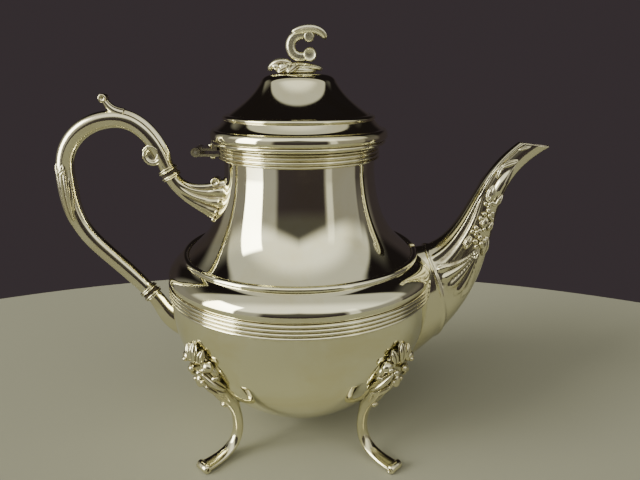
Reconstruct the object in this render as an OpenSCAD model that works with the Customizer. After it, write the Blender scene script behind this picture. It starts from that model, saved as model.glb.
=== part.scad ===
// Footed coffee pot with a hinged, domed lid, a swan-neck spout and a scroll handle on two
// insulated sockets.  Millimetres, +Z up, +X towards the spout.  The origin is on the body's
// axis, at the level of the feet.

/* [Heights] */
// Clear height of the bowl's underside above the table
leg_h = 12; // [9:0.5:16]
// Height of the bowl, from its underside to the reeded girdle's top edge
bowl_h = 75.6; // [70:0.2:90]
// Height of the rounded belly, from the girdle to the shoulder moulding
belly_h = 9.6; // [8:0.2:12]
// Height of the neck, from the shoulder moulding to the mouth
neck_h = 57; // [50:0.5:66]
// Height of the neck's straight part at the mouth
neck_straight_h = 10; // [8:0.5:14]
// Height of the lid's rolled rim, from the mouth to the lid's widest edge
lid_rim_h = 5; // [4:0.5:7]
// Height of the lid's hollow cove, from its widest edge to the step moulding
lid_cove_h = 8.8; // [7:0.2:12]
// Height of the lid's dome above the step moulding
lid_dome_h = 19; // [15:0.5:24]

/* [Radii] */
// Outer radius of the belly at its widest
belly_r = 68; // [62:0.5:74]
// How far the groove under the shoulder moulding lies inside the belly's widest radius
shoulder_inset = 7.2; // [6:0.2:11]
// Outer radius of the neck at its narrowest, just under the mouth
neck_r = 37.2; // [34:0.2:40]
// Radius of the flat underside of the bowl
foot_disc_r = 20; // [16:0.5:26]
// How far the seam between bowl and belly lies inside the belly's widest radius
seam_inset = 1.4; // [0.8:0.1:2]
// Radius of the lid at its widest edge
lid_r = 43.3; // [42:0.1:46]
// Outer radius of the lid's step moulding
lid_step_r = 36.4; // [34:0.2:38]
// Radius of the lid's dome near its top
lid_crown_r = 17.2; // [15:0.2:20]

/* [Walls and fits] */
// Thickness of the spun sheet of the body and lid
wall = 1.2; // [0.9:0.1:1.6]
// Wall of the cast spout
spout_wall = 1.4; // [1.1:0.1:1.8]
// Solder gap between a mounted piece and the sheet that it sits on
solder_gap = 0.04; // [0.02:0.01:0.08]
// Radial clearance of tenons and pins in their holes
pin_clearance = 0.05; // [0.02:0.01:0.08]
// Gap between the closed lid and the mouth
lid_gap = 0.3; // [0.2:0.05:0.5]
// Side clearance between the hinge's knuckles
knuckle_gap = 0.25; // [0.15:0.05:0.4]

/* [Mouldings] */
// Number of reeds in the girdle
girdle_reeds = 4; // [3:1:5]
// Height of one girdle reed
girdle_reed_h = 1.9; // [1.5:0.1:2.2]
// Thickness of the girdle between its reeds
girdle_web = 0.25; // [0.2:0.05:0.5]
// Height of the girdle's reeds above that web
girdle_proud = 1; // [0.6:0.1:1.4]
// Radius of the half-round shoulder moulding
shoulder_wire_r = 1.7; // [1.2:0.1:2.2]
// Number of reeds in the mouth moulding
mouth_reeds = 3; // [2:1:4]
// Height of the reeded mouth moulding
mouth_band_h = 6.6; // [5:0.2:8]
// Width of the mouth moulding's ring, from the neck outwards
mouth_band_w = 2.3; // [1.8:0.1:3]
// Height of the mouth moulding's reeds
mouth_reed_proud = 0.8; // [0.5:0.1:1.1]
// Height of the lid's step moulding
step_band_h = 2.2; // [1.6:0.1:3]
// Depth to which the lid's bezel reaches into the mouth
bezel_drop = 6; // [4:0.5:9]
// Clearance between the bezel and the inside of the mouth
bezel_clearance = 0.9; // [0.7:0.05:1.3]

/* [Spout] */
// Distance from the belly's widest radius to the tip of the spout
spout_reach = 57; // [50:0.5:64]
// Drop from the girdle's top edge to the middle of the spout's root
spout_root_drop = 16; // [12:0.5:20]
// Drop from the mouth to the tip of the spout
spout_tip_drop = 2.2; // [0:0.2:12]
// Half height of the spout where it starts inside the body
spout_root_a = 38.7; // [34:0.2:42]
// Half width of the spout where it starts inside the body
spout_root_b = 23; // [18:0.5:26]
// Half height of the spout along its neck
spout_neck_a = 6.2; // [5.6:0.1:7]
// Half width of the spout along its neck
spout_neck_b = 6.4; // [5.8:0.1:8]
// Slope of the spout's mouth towards the tip, in degrees
spout_mouth_slope = 9; // [0:1:14]
// Radius of the straining holes in the body's wall
strainer_r = 1.6; // [1.2:0.1:2]
// Distance between straining holes
strainer_pitch = 6; // [5:0.5:7]

/* [Handle] */
// Gap between the belly's widest radius and the lower ferrule's centre
handle_gap = 12.6; // [10:0.5:16]
// How far the upper ferrule lies nearer to the body than the lower one
handle_lean = 15.2; // [12:0.2:18]
// Reach of the handle's back beyond the lower ferrule
handle_depth = 36.9; // [32:0.5:44]
// Reach of the handle's top point beyond the lower ferrule
handle_top_back = 9.5; // [6:0.5:14]
// Drop from the mouth to the upper ferrule
upper_ferrule_drop = 15; // [12:0.5:20]
// Drop from the girdle's top edge to the lower ferrule
lower_ferrule_drop = 12.6; // [9:0.5:16]
// Height of the handle's top arc above the mouth
handle_crest = 11.6; // [8:0.2:16]
// Drop from the mouth to where the handle's back is furthest out
handle_back_drop = 13.4; // [8:0.2:18]
// Half thickness of the handle in the plane of its scroll
handle_a = 4.5; // [3.8:0.1:5.2]
// Half width of the handle across its scroll
handle_b = 4.1; // [3.5:0.1:5]
// Height of the thumb rest's roll above the handle's middle line
thumb_rest_h = 9.9; // [8:0.1:12]
// Radius of the rings of the ferrules
ferrule_r = 5.2; // [4.8:0.1:6]
// Height of one ferrule ring
ferrule_h = 2.2; // [1.6:0.1:3]
// Thickness of the insulating disc between two ferrule rings
insulator_t = 1.3; // [0.8:0.1:2]
// Radius of the insulating disc
insulator_r = 4.3; // [3.8:0.1:4.6]
// Radius of the insulator's tenons
tenon_r = 2.4; // [2:0.1:2.8]
// Length of each of the insulator's tenons
tenon_l = 5.5; // [5:0.25:6.5]
// Radius of the cross pins that hold the tenons
cross_pin_r = 0.6; // [0.4:0.05:0.8]
// Radius of the scroll under the handle's upper end
volute_r = 5.2; // [4.4:0.1:5.8]
// Drop from the mouth to the middle of the upper socket's root on the neck
upper_root_drop = 29.5; // [26:0.5:33]
// Half height of the upper socket's root
upper_root_a = 13; // [9:0.5:14]
// Half width of the upper socket's root
upper_root_b = 7.5; // [6:0.5:9]
// Drop from the girdle's top edge to the middle of the lower socket's root on the bowl
lower_root_drop = 33; // [29:0.5:37]
// Half height of the lower socket's root
lower_root_a = 8; // [6:0.5:10]
// Half width of the lower socket's root
lower_root_b = 4.5; // [3:0.5:6]

/* [Legs] */
// Angle between each leg and the line from handle to spout
leg_angle = 46; // [40:0.5:48]
// How far the tip of each toe falls short of the belly's widest radius, less than 0 outside it
toe_inset = -1.5; // [-8:0.5:6]
// How far the middle of each shin lies inside the belly's widest radius
shin_inset = 22.4; // [18:0.2:26]
// Height of the leaf mount's top above the bowl's underside
knee_h = 54; // [48:0.5:60]
// Half width of the leaf mount
knee_b = 14; // [10:0.5:16]
// Half thickness of the leaf mount over the shin's
knee_a = 3.6; // [2.6:0.1:4.4]
// Half thickness of the shin
shin_a = 2.5; // [2.1:0.1:3]
// Half width of the shin
shin_b = 3; // [2.5:0.1:3.6]
// Half width that the foot gains at its toe
toe_spread = 1.4; // [0.6:0.1:2]
// How far the leaf over each shin curls out from the shin's middle
leaf_curl = 7; // [5:0.5:9]
// Radius of the flat pad under each foot
pad_r = 2.6; // [2:0.1:3]

/* [Hinge] */
// Distance from the lid's widest edge out to the hinge pin
hinge_reach = 7; // [6:0.25:10]
// Drop from the mouth to the hinge pin
hinge_drop = 3.8; // [3.2:0.1:5]
// Outer radius of the hinge's knuckles
knuckle_r = 2.3; // [1.8:0.05:2.5]
// Radius of the hinge pin
hinge_pin_r = 0.8; // [0.6:0.05:1]
// Width of the whole hinge
hinge_w = 13; // [10:0.5:18]
// Thickness of the hinge's leaves
leaf_t = 1.3; // [1.1:0.1:1.6]
// Thickness of the block that carries the lid's leaf up to the lid
riser_t = 2.4; // [1.8:0.1:3]

/* [Finial] */
// Outer radius of the finial's scroll
finial_r = 8; // [6.5:0.25:9.5]
// Half thickness of the finial's scroll
finial_a = 2; // [1.6:0.1:2.3]
// Height of the scroll's lowest point above the lid's crown
finial_rise = 4.8; // [4:0.2:6]
// Distance of the scroll's middle from the lid's axis, towards the spout
finial_shift = 2.2; // [0:0.2:4]
// Reach of the long leaf that runs on from the scroll's top
finial_leaf_l = 12; // [9:0.5:14]
// Half length of the leaf base under the scroll
finial_base_w = 13.4; // [11:0.2:15]
// Half width of the leaf base
finial_base_b = 8.1; // [6.5:0.1:9.5]
// Half thickness of the leaf base
finial_base_a = 3.1; // [2.5:0.1:3.8]
// Radius of the boss that holds the stud
finial_boss_r = 5; // [4:0.25:6]
// Height of the boss
finial_boss_h = 4; // [3:0.25:5]
// Radius of the threaded stud under the finial
stud_r = 1.5; // [1.2:0.1:2]
// Thickness of the washer under the lid
washer_t = 0.8; // [0.5:0.1:1.2]
// Height of the nut under the lid
nut_h = 2.4; // [2:0.1:3.2]
// Radius of the nut, across its corners
nut_r = 3.4; // [3:0.1:4]

/* [Hidden] */

silver = [0.85, 0.83, 0.76];
cast_silver = [0.80, 0.76, 0.62];
insulator_colour = [0.16, 0.13, 0.10];
$fn = 96;
eps = 0.01;

// Levels of the stacked pieces
z_bottom = leg_h;
z_girdle = z_bottom + bowl_h;
z_shoulder = z_girdle + belly_h;
z_mouth = z_shoulder + neck_h;
z_lid = z_mouth + lid_gap;
z_lid_edge = z_mouth + lid_rim_h;
z_step = z_lid_edge + lid_cove_h;
z_crown = z_step + lid_dome_h;

// ---- Curves ----------------------------------------------------------------------------------

// Point at t on a cubic curve with end points a and d and handles b and c
function bezier(a, b, c, d, t) =
    pow(1 - t, 3) * a + 3 * pow(1 - t, 2) * t * b + 3 * (1 - t) * t * t * c + pow(t, 3) * d;

// The curve's points from t = 0 up to, but not with, t = 1
function curve(a, b, c, d, steps) = [for (i = [0 : steps - 1]) bezier(a, b, c, d, i / steps)];

function unit(v) = v / norm(v);

// The direction of a list of points at point i
function heading(p, i) = unit(p[min(i + 1, len(p) - 1)] - p[max(i - 1, 0)]);

// The outline p moved by w to the left of its direction
function beside(p, w) = [for (i = [0 : len(p) - 1]) p[i] + w * [-heading(p, i)[1], heading(p, i)[0]]];

function reversed(p) = [for (i = [len(p) - 1 : -1 : 0]) p[i]];

// ---- Swept castings --------------------------------------------------------------------------

// A closed solid along the points p = [x, z] of the XZ plane.  Its section at point i is an
// oval of half height a[i] in that plane and half width b[i] across it.
module sweep(p, a, b, sides = 20) {
    rings = len(p);
    points = [for (i = [0 : rings - 1], k = [0 : sides - 1])
        let (d = heading(p, i), u = a[i] * cos(360 * k / sides), v = b[i] * sin(360 * k / sides))
        [p[i][0] - d[1] * u, v, p[i][1] + d[0] * u]];
    walls = [for (i = [0 : rings - 2], k = [0 : sides - 1])
        let (m = (k + 1) % sides)
        [i * sides + k, i * sides + m, (i + 1) * sides + m, (i + 1) * sides + k]];
    first = [for (k = [sides - 1 : -1 : 0]) k];
    last = [for (k = [0 : sides - 1]) (rings - 1) * sides + k];
    polyhedron(points, concat(walls, [first, last]), convexity = 6);
}

// ---- Body ------------------------------------------------------------------------------------

// Radius of the seam between bowl and belly, and of the bowl under the girdle's reeds
seam_r = belly_r - seam_inset;
shoulder_r = belly_r - shoulder_inset;
bowl_side_r = seam_r - 0.2;
girdle_h = girdle_reeds * girdle_reed_h;
// Handles of the body's curves, each measured from the curve's end that it belongs to
bowl_floor_handle = [6, 0.2];
bowl_side_handle = [5, -39];
belly_seam_handle = [2.8, 3.4];
belly_top_handle = [4.6, -2.4];
neck_foot_handle = [-8.8, 6.8];
neck_top_handle = [1.2, -32];

bowl_floor = [foot_disc_r, z_bottom];
bowl_side = [bowl_side_r, z_girdle - girdle_h];
seam = [seam_r, z_girdle];
shoulder = [shoulder_r, z_shoulder];
neck_top = [neck_r, z_mouth - neck_straight_h];

// Outer curve of the bowl, from the edge of its flat underside up to where it stands under
// the girdle, just below the seam
function bowl_curve() = concat(
    curve(bowl_floor, bowl_floor + bowl_floor_handle, bowl_side + bowl_side_handle, bowl_side, 16),
    [bowl_side]);

// Outer curve of the belly, from the seam to the groove under the shoulder moulding
function belly_curve() =
    curve(seam, seam + belly_seam_handle, shoulder + belly_top_handle, shoulder, 10);

// Outer curve of the neck, from the shoulder groove to the mouth
function neck_curve() = concat(
    curve(shoulder, shoulder + neck_foot_handle, neck_top + neck_top_handle, neck_top, 18),
    [neck_top, [neck_r, z_mouth]]);

upper_curve = concat(belly_curve(), neck_curve());
body_curve = concat(bowl_curve(), upper_curve);

// Outer radius of the body at height z
function body_r(z) = lookup(z, [for (p = body_curve) [p[1], p[0]]]);

// The body as a full solid, grown by g, for seating what is mounted on it
module body_form(g) {
    rotate_extrude() polygon(concat([[0, z_bottom - g], [foot_disc_r, z_bottom - g]],
        beside(body_curve, -g), [[0, z_mouth]]));
}

// The outline p moved inwards by a wall, with its two ends level with those of p
function inside(p) = let (q = beside(p, wall), last = len(p) - 1)
    [for (i = [0 : last]) (i == 0 || i == last) ? [q[i][0], p[i][1]] : q[i]];

// A spun sheet, with the outer curve p
module sheet(p) {
    rotate_extrude() polygon(concat(p, reversed(inside(p))));
}

// The straining holes that lead from the bowl into the spout
module strainer_holes() {
    for (row = [-1 : 1], column = [-1 : 1])
        translate([belly_r / 2, column * strainer_pitch, spout_root_z + row * strainer_pitch])
            rotate([0, 90, 0]) cylinder(r = strainer_r, h = belly_r, $fn = 24);
}

module lower_body() {
    color(silver) difference() {
        union() {
            sheet(concat(bowl_curve(), [seam]));
            translate([0, 0, z_bottom]) cylinder(r = foot_disc_r, h = wall);
        }
        strainer_holes();
    }
}

module upper_body() {
    color(silver) sheet(upper_curve);
}

// Half-round reeds stacked from z_low up on the radius r, each h high and proud by d
function reeds(r, z_low, h, count, d, steps = 8) = [for (i = [0 : count - 1], s = [0 : steps])
    [r + d * sin(180 * s / steps), z_low + h * (i + s / steps)]];

module girdle_moulding() {
    low = z_girdle - girdle_h;
    color(silver) difference() {
        rotate_extrude() polygon(concat(
            reeds(seam_r + girdle_web, low, girdle_reed_h, girdle_reeds, girdle_proud),
            [[bowl_side_r - wall / 2, z_girdle], [bowl_side_r - wall / 2, low]]));
        body_form(solder_gap);
        spout_form(-solder_gap);
    }
}

module shoulder_moulding() {
    level = z_shoulder + shoulder_wire_r;
    color(silver) difference() {
        translate([0, 0, level])
            rotate_extrude() translate([body_r(level), 0]) circle(r = shoulder_wire_r, $fn = 32);
        body_form(solder_gap);
        spout_form(-solder_gap);
    }
}

module mouth_moulding() {
    seat = neck_r + solder_gap;
    low = z_mouth - mouth_band_h;
    reed_h = mouth_band_h / mouth_reeds;
    color(silver) rotate_extrude() polygon(concat(
        reeds(seat + mouth_band_w - mouth_reed_proud, low, reed_h, mouth_reeds, mouth_reed_proud),
        [[seat, z_mouth], [seat, low]]));
}

// ---- Spout -----------------------------------------------------------------------------------

spout_root_z = z_girdle - spout_root_drop;
spout_tip = [belly_r + spout_reach, z_mouth - spout_tip_drop];
// The middle line starts inside the body and ends above the lip
spout_start_in = 27.6;
spout_start_drop = 2.9;
spout_end_back = 2.8;
spout_end_rise = 4.8;
spout_start = [belly_r - spout_start_in, spout_root_z - spout_start_drop];
spout_end = spout_tip + [-spout_end_back, spout_end_rise];
spout_root_handle = [67.6, 17.7];
spout_end_handle = [-45.5, -22];
spout_steps = 22;

function spout_line(t) = bezier(spout_start, spout_start + spout_root_handle,
                                spout_end + spout_end_handle, spout_end, t);
// Half height and half width: both shrink quickly from the root and hold along the neck
function spout_a(t) =
    bezier(spout_root_a, spout_neck_a - 2, spout_neck_a + 1.5, spout_neck_a - 1.3, t);
function spout_b(t) =
    bezier(spout_root_b, spout_neck_b - 0.4, spout_neck_b + 0.6, spout_neck_b - 3.8, t);

// The spout as a full solid, smaller all round by inset, from one share of its line to another
module spout_form(inset, from = 0, to = 1) {
    steps = [for (i = [0 : spout_steps]) from + (to - from) * i / spout_steps];
    sweep([for (t = steps) spout_line(t)],
          [for (t = steps) spout_a(t) - inset],
          [for (t = steps) spout_b(t) - inset], 24);
}

module spout() {
    color(cast_silver) difference() {
        spout_form(0);
        spout_form(spout_wall, -0.02, 1.02);
        body_form(solder_gap);
        // The mouth is cut nearly level, so that the spout pours over a beak
        translate([spout_tip[0], 0, spout_tip[1]]) rotate([0, spout_mouth_slope, 0])
            translate([0, 0, spout_reach / 2])
                cube([spout_reach, spout_reach, spout_reach], center = true);
    }
}

// ---- Ferrules, sockets and insulators --------------------------------------------------------

low_x = -(belly_r + handle_gap);
upper_ferrule = [low_x + handle_lean, z_mouth - upper_ferrule_drop];
lower_ferrule = [low_x, z_girdle - lower_ferrule_drop];
// Directions from the handle into the sockets, as angles below the +X direction
upper_dip = 62;
lower_dip = 50;
// Distance from a ferrule's middle to where the castings on its two sides start
ferrule_half = insulator_t / 2 + ferrule_h / 2;
// Radius of the castings at the ferrules
collar_r = ferrule_r - 1.3;

function dip(angle) = [cos(angle), -sin(angle)];

// Places what is drawn along +Z from a ferrule's centre into its socket
module at_ferrule(centre, angle) {
    translate([centre[0], 0, centre[1]]) rotate([0, 90 + angle, 0]) children();
}

module ferrule_ring() {
    rotate_extrude() polygon(concat([[0, 0]],
        reeds(insulator_r, 0, ferrule_h, 1, ferrule_r - insulator_r), [[0, ferrule_h]]));
}

module insulator() {
    whole = insulator_t + 2 * tenon_l;
    cylinder(r = insulator_r, h = insulator_t, center = true, $fn = 48);
    difference() {
        cylinder(r = tenon_r, h = whole, center = true, $fn = 48);
        for (side = [-1, 1]) cross_hole(side);
    }
}

// Distance from the insulator's middle to the middle of each cross pin
cross_z = insulator_t / 2 + tenon_l * 0.65;

module cross_cylinder(side, r, length) {
    translate([0, 0, side * cross_z]) rotate([90, 0, 0])
        cylinder(r = r, h = length, center = true, $fn = 24);
}

module cross_hole(side) {
    cross_cylinder(side, cross_pin_r + pin_clearance, 4 * ferrule_r);
}

module cross_pin(side) {
    cross_cylinder(side, cross_pin_r, 2 * collar_r - 0.3);
}

// The blind hole for one of the insulator's tenons
module tenon_hole(side) {
    depth = insulator_t / 2 + tenon_l + pin_clearance;
    translate([0, 0, side * depth / 2])
        cylinder(r = tenon_r + pin_clearance, h = depth, center = true, $fn = 48);
}

// A flared socket from a ferrule to the body.  Its middle line enters the body at root, where
// its half height is root_a and its half width root_b, and handle is that end's curve handle.
module socket(centre, angle, root, root_a, root_b, handle, flare) {
    start = centre + dip(angle) * ferrule_half;
    steps = 12;
    line = [for (i = [0 : steps]) bezier(start, start + dip(angle) * socket_start_handle,
                                         root + handle, root + socket_sink, i / steps)];
    half_a = [for (i = [0 : steps]) collar_r + (root_a - collar_r) * pow(i / steps, flare)];
    half_b = [for (i = [0 : steps]) collar_r + (root_b - collar_r) * pow(i / steps, flare)];
    difference() {
        union() {
            sweep(line, half_a, half_b, 20);
            at_ferrule(centre, angle) translate([0, 0, insulator_t / 2]) ferrule_ring();
        }
        at_ferrule(centre, angle) {
            tenon_hole(1);
            cross_hole(1);
        }
        body_form(solder_gap);
    }
}

socket_start_handle = 9;
// How late the sockets widen on their way to the body, as a power
upper_flare = 3;
lower_flare = 2;
// Radius of the roll at the top of the upper socket's leaf
root_roll_r = 2.3;
// How far the middle line of a socket runs on into the body, where it is cut away
socket_sink = [6, 0];
upper_root_z = z_mouth - upper_root_drop;
upper_root = [-body_r(upper_root_z), upper_root_z];
lower_root_z = z_girdle - lower_root_drop;
lower_root = [-body_r(lower_root_z), lower_root_z];

module upper_socket() {
    color(cast_silver) {
        socket(upper_ferrule, upper_dip, upper_root, upper_root_a, upper_root_b, [-12, 1.5],
               upper_flare);
        // Roll at the top of the leaf, which runs into its root
        difference() {
            across(upper_root + [-2.2, upper_root_a - 2.6])
                cylinder(r = root_roll_r, h = upper_root_b, center = true, $fn = 32);
            body_form(solder_gap);
        }
    }
}

module lower_socket() {
    color(cast_silver)
        socket(lower_ferrule, lower_dip, lower_root, lower_root_a, lower_root_b, [-12, 5],
               lower_flare);
}

module upper_insulator() {
    color(insulator_colour) at_ferrule(upper_ferrule, upper_dip) insulator();
}

module lower_insulator() {
    color(insulator_colour) at_ferrule(lower_ferrule, lower_dip) insulator();
}

module upper_socket_pin() {
    color(silver) at_ferrule(upper_ferrule, upper_dip) cross_pin(1);
}

module upper_handle_pin() {
    color(silver) at_ferrule(upper_ferrule, upper_dip) cross_pin(-1);
}

module lower_socket_pin() {
    color(silver) at_ferrule(lower_ferrule, lower_dip) cross_pin(1);
}

module lower_handle_pin() {
    color(silver) at_ferrule(lower_ferrule, lower_dip) cross_pin(-1);
}

// ---- Handle ----------------------------------------------------------------------------------

handle_start = upper_ferrule - dip(upper_dip) * ferrule_half;
handle_end = lower_ferrule - dip(lower_dip) * ferrule_half;
handle_top = [low_x - handle_top_back, z_mouth + handle_crest];
handle_back = [low_x - handle_depth, z_mouth - handle_back_drop];
// Share of a quarter's radius by which a curve's handles bring it to a round arc
arc = 0.5523;
upper_start_handle = [-3.5, 12];
top_handle = [13.5, 0];
back_handle = [0, 37];
lower_end_handle = 39;

// Middle line of the handle: over the top, round the back and down to the lower ferrule
function handle_line() = concat(
    curve(handle_start, handle_start + upper_start_handle, handle_top + top_handle, handle_top, 10),
    curve(handle_top, handle_top + [arc * (handle_back[0] - handle_top[0]), 0],
          handle_back + [0, arc * (handle_top[1] - handle_back[1])], handle_back, 10),
    curve(handle_back, handle_back - back_handle,
          handle_end - dip(lower_dip) * lower_end_handle, handle_end, 14),
    [handle_end]);

// The handle's half size at point i: full along its bow and slimmer at its two ends
function handle_size(i, count, middle) = let (end = collar_r - 0.3, share = i / count)
    end + (middle - end) * pow(max(sin(180 * share), 0), 0.35);

// Places what is drawn along +Z across the handle, at a point of the XZ plane
module across(point) {
    translate([point[0], 0, point[1]]) rotate([90, 0, 0]) children();
}

volute_centre = handle_start + [-volute_r - 1, volute_r + 2.4];

module handle() {
    line = handle_line();
    count = len(line) - 1;
    color(cast_silver) difference() {
        union() {
            sweep(line, [for (i = [0 : count]) handle_size(i, count, handle_a)],
                  [for (i = [0 : count]) handle_size(i, count, handle_b)], 16);
            across(volute_centre)
                cylinder(r = volute_r, h = 2 * handle_b - 1, center = true, $fn = 48);
            thumb_rest();
            handle_end_ring(upper_ferrule, upper_dip);
            handle_end_ring(lower_ferrule, lower_dip);
        }
        handle_end_holes(upper_ferrule, upper_dip);
        handle_end_holes(lower_ferrule, lower_dip);
    }
}

module handle_end_ring(centre, angle) {
    at_ferrule(centre, angle) mirror([0, 0, 1]) translate([0, 0, insulator_t / 2]) ferrule_ring();
}

module handle_end_holes(centre, angle) {
    at_ferrule(centre, angle) {
        tenon_hole(-1);
        cross_hole(-1);
    }
}

// A spur that grows out of the handle's top and ends in a small roll
module thumb_rest() {
    tip = handle_top + [-4.4, thumb_rest_h];
    foot = handle_top + [5.5, 2.5];
    steps = 6;
    spur = [for (i = [0 : steps])
        bezier(foot, foot + [-5, 1.2], tip + [2.5, -thumb_rest_h / 2], tip, i / steps)];
    sweep(spur, [for (i = [0 : steps]) 2.4 - 1.3 * i / steps],
          [for (i = [0 : steps]) 2.8 - 1.3 * i / steps], 14);
    across(tip) cylinder(r = 1.9, h = 4.6, center = true, $fn = 32);
}

// ---- Legs ------------------------------------------------------------------------------------

knee_z = z_bottom + knee_h;
toe_reach = belly_r - toe_inset;
shin_reach = belly_r - shin_inset;
leg_mid = [shin_reach, z_bottom * 1.4];
toe_roll_r = 2.3;
toe = [toe_reach - toe_roll_r, toe_roll_r];
knee = [body_r(knee_z) - 0.2, knee_z - 1];
calf_handle = [body_r(knee_z - 20) + 2, knee_z - 20];

// Middle line of a leg: down the bowl from the knee, in to the shin and out to the toe
function leg_line() = concat(
    curve(knee, calf_handle, leg_mid + [0.4, 17], leg_mid, 12),
    curve(leg_mid, leg_mid - [0.2, 13], [shin_reach + 10, toe_roll_r - 1], toe, 9),
    [toe]);

// Half thickness and half width at share s of the leg, which is full at the knee, slim at the
// shin and spread at the toe
function leg_a(s) = s < 0.5 ? shin_a + knee_a * pow(sin(180 * min(s * 1.9 + 0.04, 1)), 1.5)
                            : shin_a - 0.4 * (2 * s - 1);
function leg_b(s) = s < 0.5
    ? shin_b + (knee_b - shin_b) * pow(cos(180 * s), 2) * sin(90 * min(s * 6 + 0.3, 1))
    : shin_b + toe_spread * pow(2 * s - 1, 2);

// Leaf that covers the lower part of the mount and curls outwards over the shin
module leg_leaf() {
    steps = 6;
    top = knee - [0, knee_h * 0.28];
    low = [shin_reach + leaf_curl, leg_mid[1] + knee_h * 0.24];
    sweep([for (i = [0 : steps])
               bezier(top, top - [4, 10], low + [-0.5, 8], low, i / steps)],
          [for (i = [0 : steps]) 1 + 1.4 * sin(180 * (i + 0.4) / (steps + 0.6))],
          [for (i = [0 : steps]) 1.4 + 3.4 * sin(180 * (i + 0.4) / (steps + 0.6))], 14);
}

module leg() {
    line = leg_line();
    count = len(line) - 1;
    difference() {
        union() {
            sweep(line, [for (i = [0 : count]) leg_a(i / count)],
                  [for (i = [0 : count]) leg_b(i / count)], 16);
            // The foot ends in a small roll and stands on a flat pad
            across(toe)
                cylinder(r = toe_roll_r, h = 2 * (shin_b + toe_spread) - 0.4, center = true, $fn = 32);
            translate([toe[0] - 0.4, 0, 0]) cylinder(r = pad_r, h = toe_roll_r, $fn = 32);
            leg_leaf();
        }
        body_form(solder_gap);
        translate([0, 0, -toe_reach]) cylinder(r = 2 * toe_reach, h = toe_reach);
    }
}

module placed_leg(angle) {
    color(cast_silver) rotate([0, 0, angle]) leg();
}

module leg_front_left() { placed_leg(180 + leg_angle); }
module leg_front_right() { placed_leg(-leg_angle); }
module leg_rear_left() { placed_leg(180 - leg_angle); }
module leg_rear_right() { placed_leg(leg_angle); }

// ---- Lid -------------------------------------------------------------------------------------

// Outer curve of the lid: rolled rim, rounded edge, hollow cove, dome and crown
function lid_curve() = concat(
    curve(lid_seat, lid_seat + [1.6, 0.6], lid_edge - [0, 1.8], lid_edge, 6),
    curve(lid_edge, lid_edge + [0, 0.8], cove_low + [0.5, -0.6], cove_low, 3),
    curve(cove_low, cove_low + [-2.5, 2.7], step_low + [2, -2.8], step_low, 8),
    curve(dome_low, dome_low + [-6.4, 4.4], crown_edge + [3.8, -7.4], crown_edge, 10),
    curve(crown_edge, crown_edge + [-1.2, 2], crown_flat + [3.4, -0.2], crown_flat, 5),
    [crown_flat]);

lid_seat_r = neck_r + mouth_band_w + 0.4;
lid_seat = [lid_seat_r, z_lid];
lid_edge = [lid_r, z_lid_edge - 0.6];
cove_low = [lid_r - 1.1, z_lid_edge + 1.1];
step_low = [lid_step_r - 1.2, z_step - 0.2];
dome_low = [lid_step_r - 1.6, z_step];
crown_edge = [lid_crown_r + 0.8, z_crown - 3.2];
crown_flat = [lid_crown_r - 6, z_crown];
// Radius and height of the ledge inside the lid's rim that holds the bezel
ledge_r = lid_seat_r - 1.4;
ledge_h = 1;

module stud_hole(z_low, h) {
    translate([0, 0, z_low]) cylinder(r = stud_r + pin_clearance, h = h, $fn = 32);
}

module lid_dome() {
    outer = lid_curve();
    inner = [for (p = beside(outer, wall)) if (p[1] > z_lid + ledge_h + 0.2) p];
    color(silver) difference() {
        rotate_extrude() polygon(concat([[ledge_r, z_lid]], outer, [[0, z_crown],
            [0, z_crown - wall]], reversed(inner), [[ledge_r, z_lid + ledge_h]]));
        stud_hole(z_crown - 2 * wall, 3 * wall);
    }
}

// The lid as a full solid, grown by g, for seating what is mounted on it
module lid_form(g) {
    rotate_extrude() polygon(concat([[0, z_lid - g], [lid_seat_r, z_lid - g]],
        beside(lid_curve(), -g), [[0, z_crown + g]]));
}

module lid_step_moulding() {
    low = z_step - step_band_h;
    inner = lid_step_r - 2.4;
    color(silver) difference() {
        rotate_extrude() polygon(concat(
            reeds(lid_step_r, low, step_band_h, 1, 0.7),
            [[dome_low[0] + 0.4, z_step + 0.4], [inner, z_step + 0.4], [inner, low]]));
        lid_form(solder_gap);
    }
}

bezel_r = neck_r - wall - bezel_clearance;

module lid_bezel() {
    ledge = ledge_r - solder_gap;
    color(silver) rotate_extrude() polygon([
        [bezel_r - wall, z_mouth - bezel_drop], [bezel_r, z_mouth - bezel_drop],
        [bezel_r, z_lid], [ledge, z_lid],
        [ledge, z_lid + ledge_h], [bezel_r - wall, z_lid + ledge_h]]);
}

// ---- Hinge -----------------------------------------------------------------------------------

hinge_x = -(lid_r + hinge_reach);
hinge_z = z_mouth - hinge_drop;
knuckle_w = hinge_w / 3;
// How far the leaves' flat faces cut into the round of the knuckles that they run into
leaf_bite = 0.25;

module knuckle(y, width) {
    translate([0, y, 0]) across([hinge_x, hinge_z])
        cylinder(r = knuckle_r, h = width, center = true, $fn = 48);
}

module pin_hole() {
    across([hinge_x, hinge_z])
        cylinder(r = hinge_pin_r + pin_clearance, h = 2 * hinge_w, center = true, $fn = 48);
}

module hinge_pin() {
    color(silver) across([hinge_x, hinge_z])
        cylinder(r = hinge_pin_r, h = hinge_w, center = true, $fn = 48);
}

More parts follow.
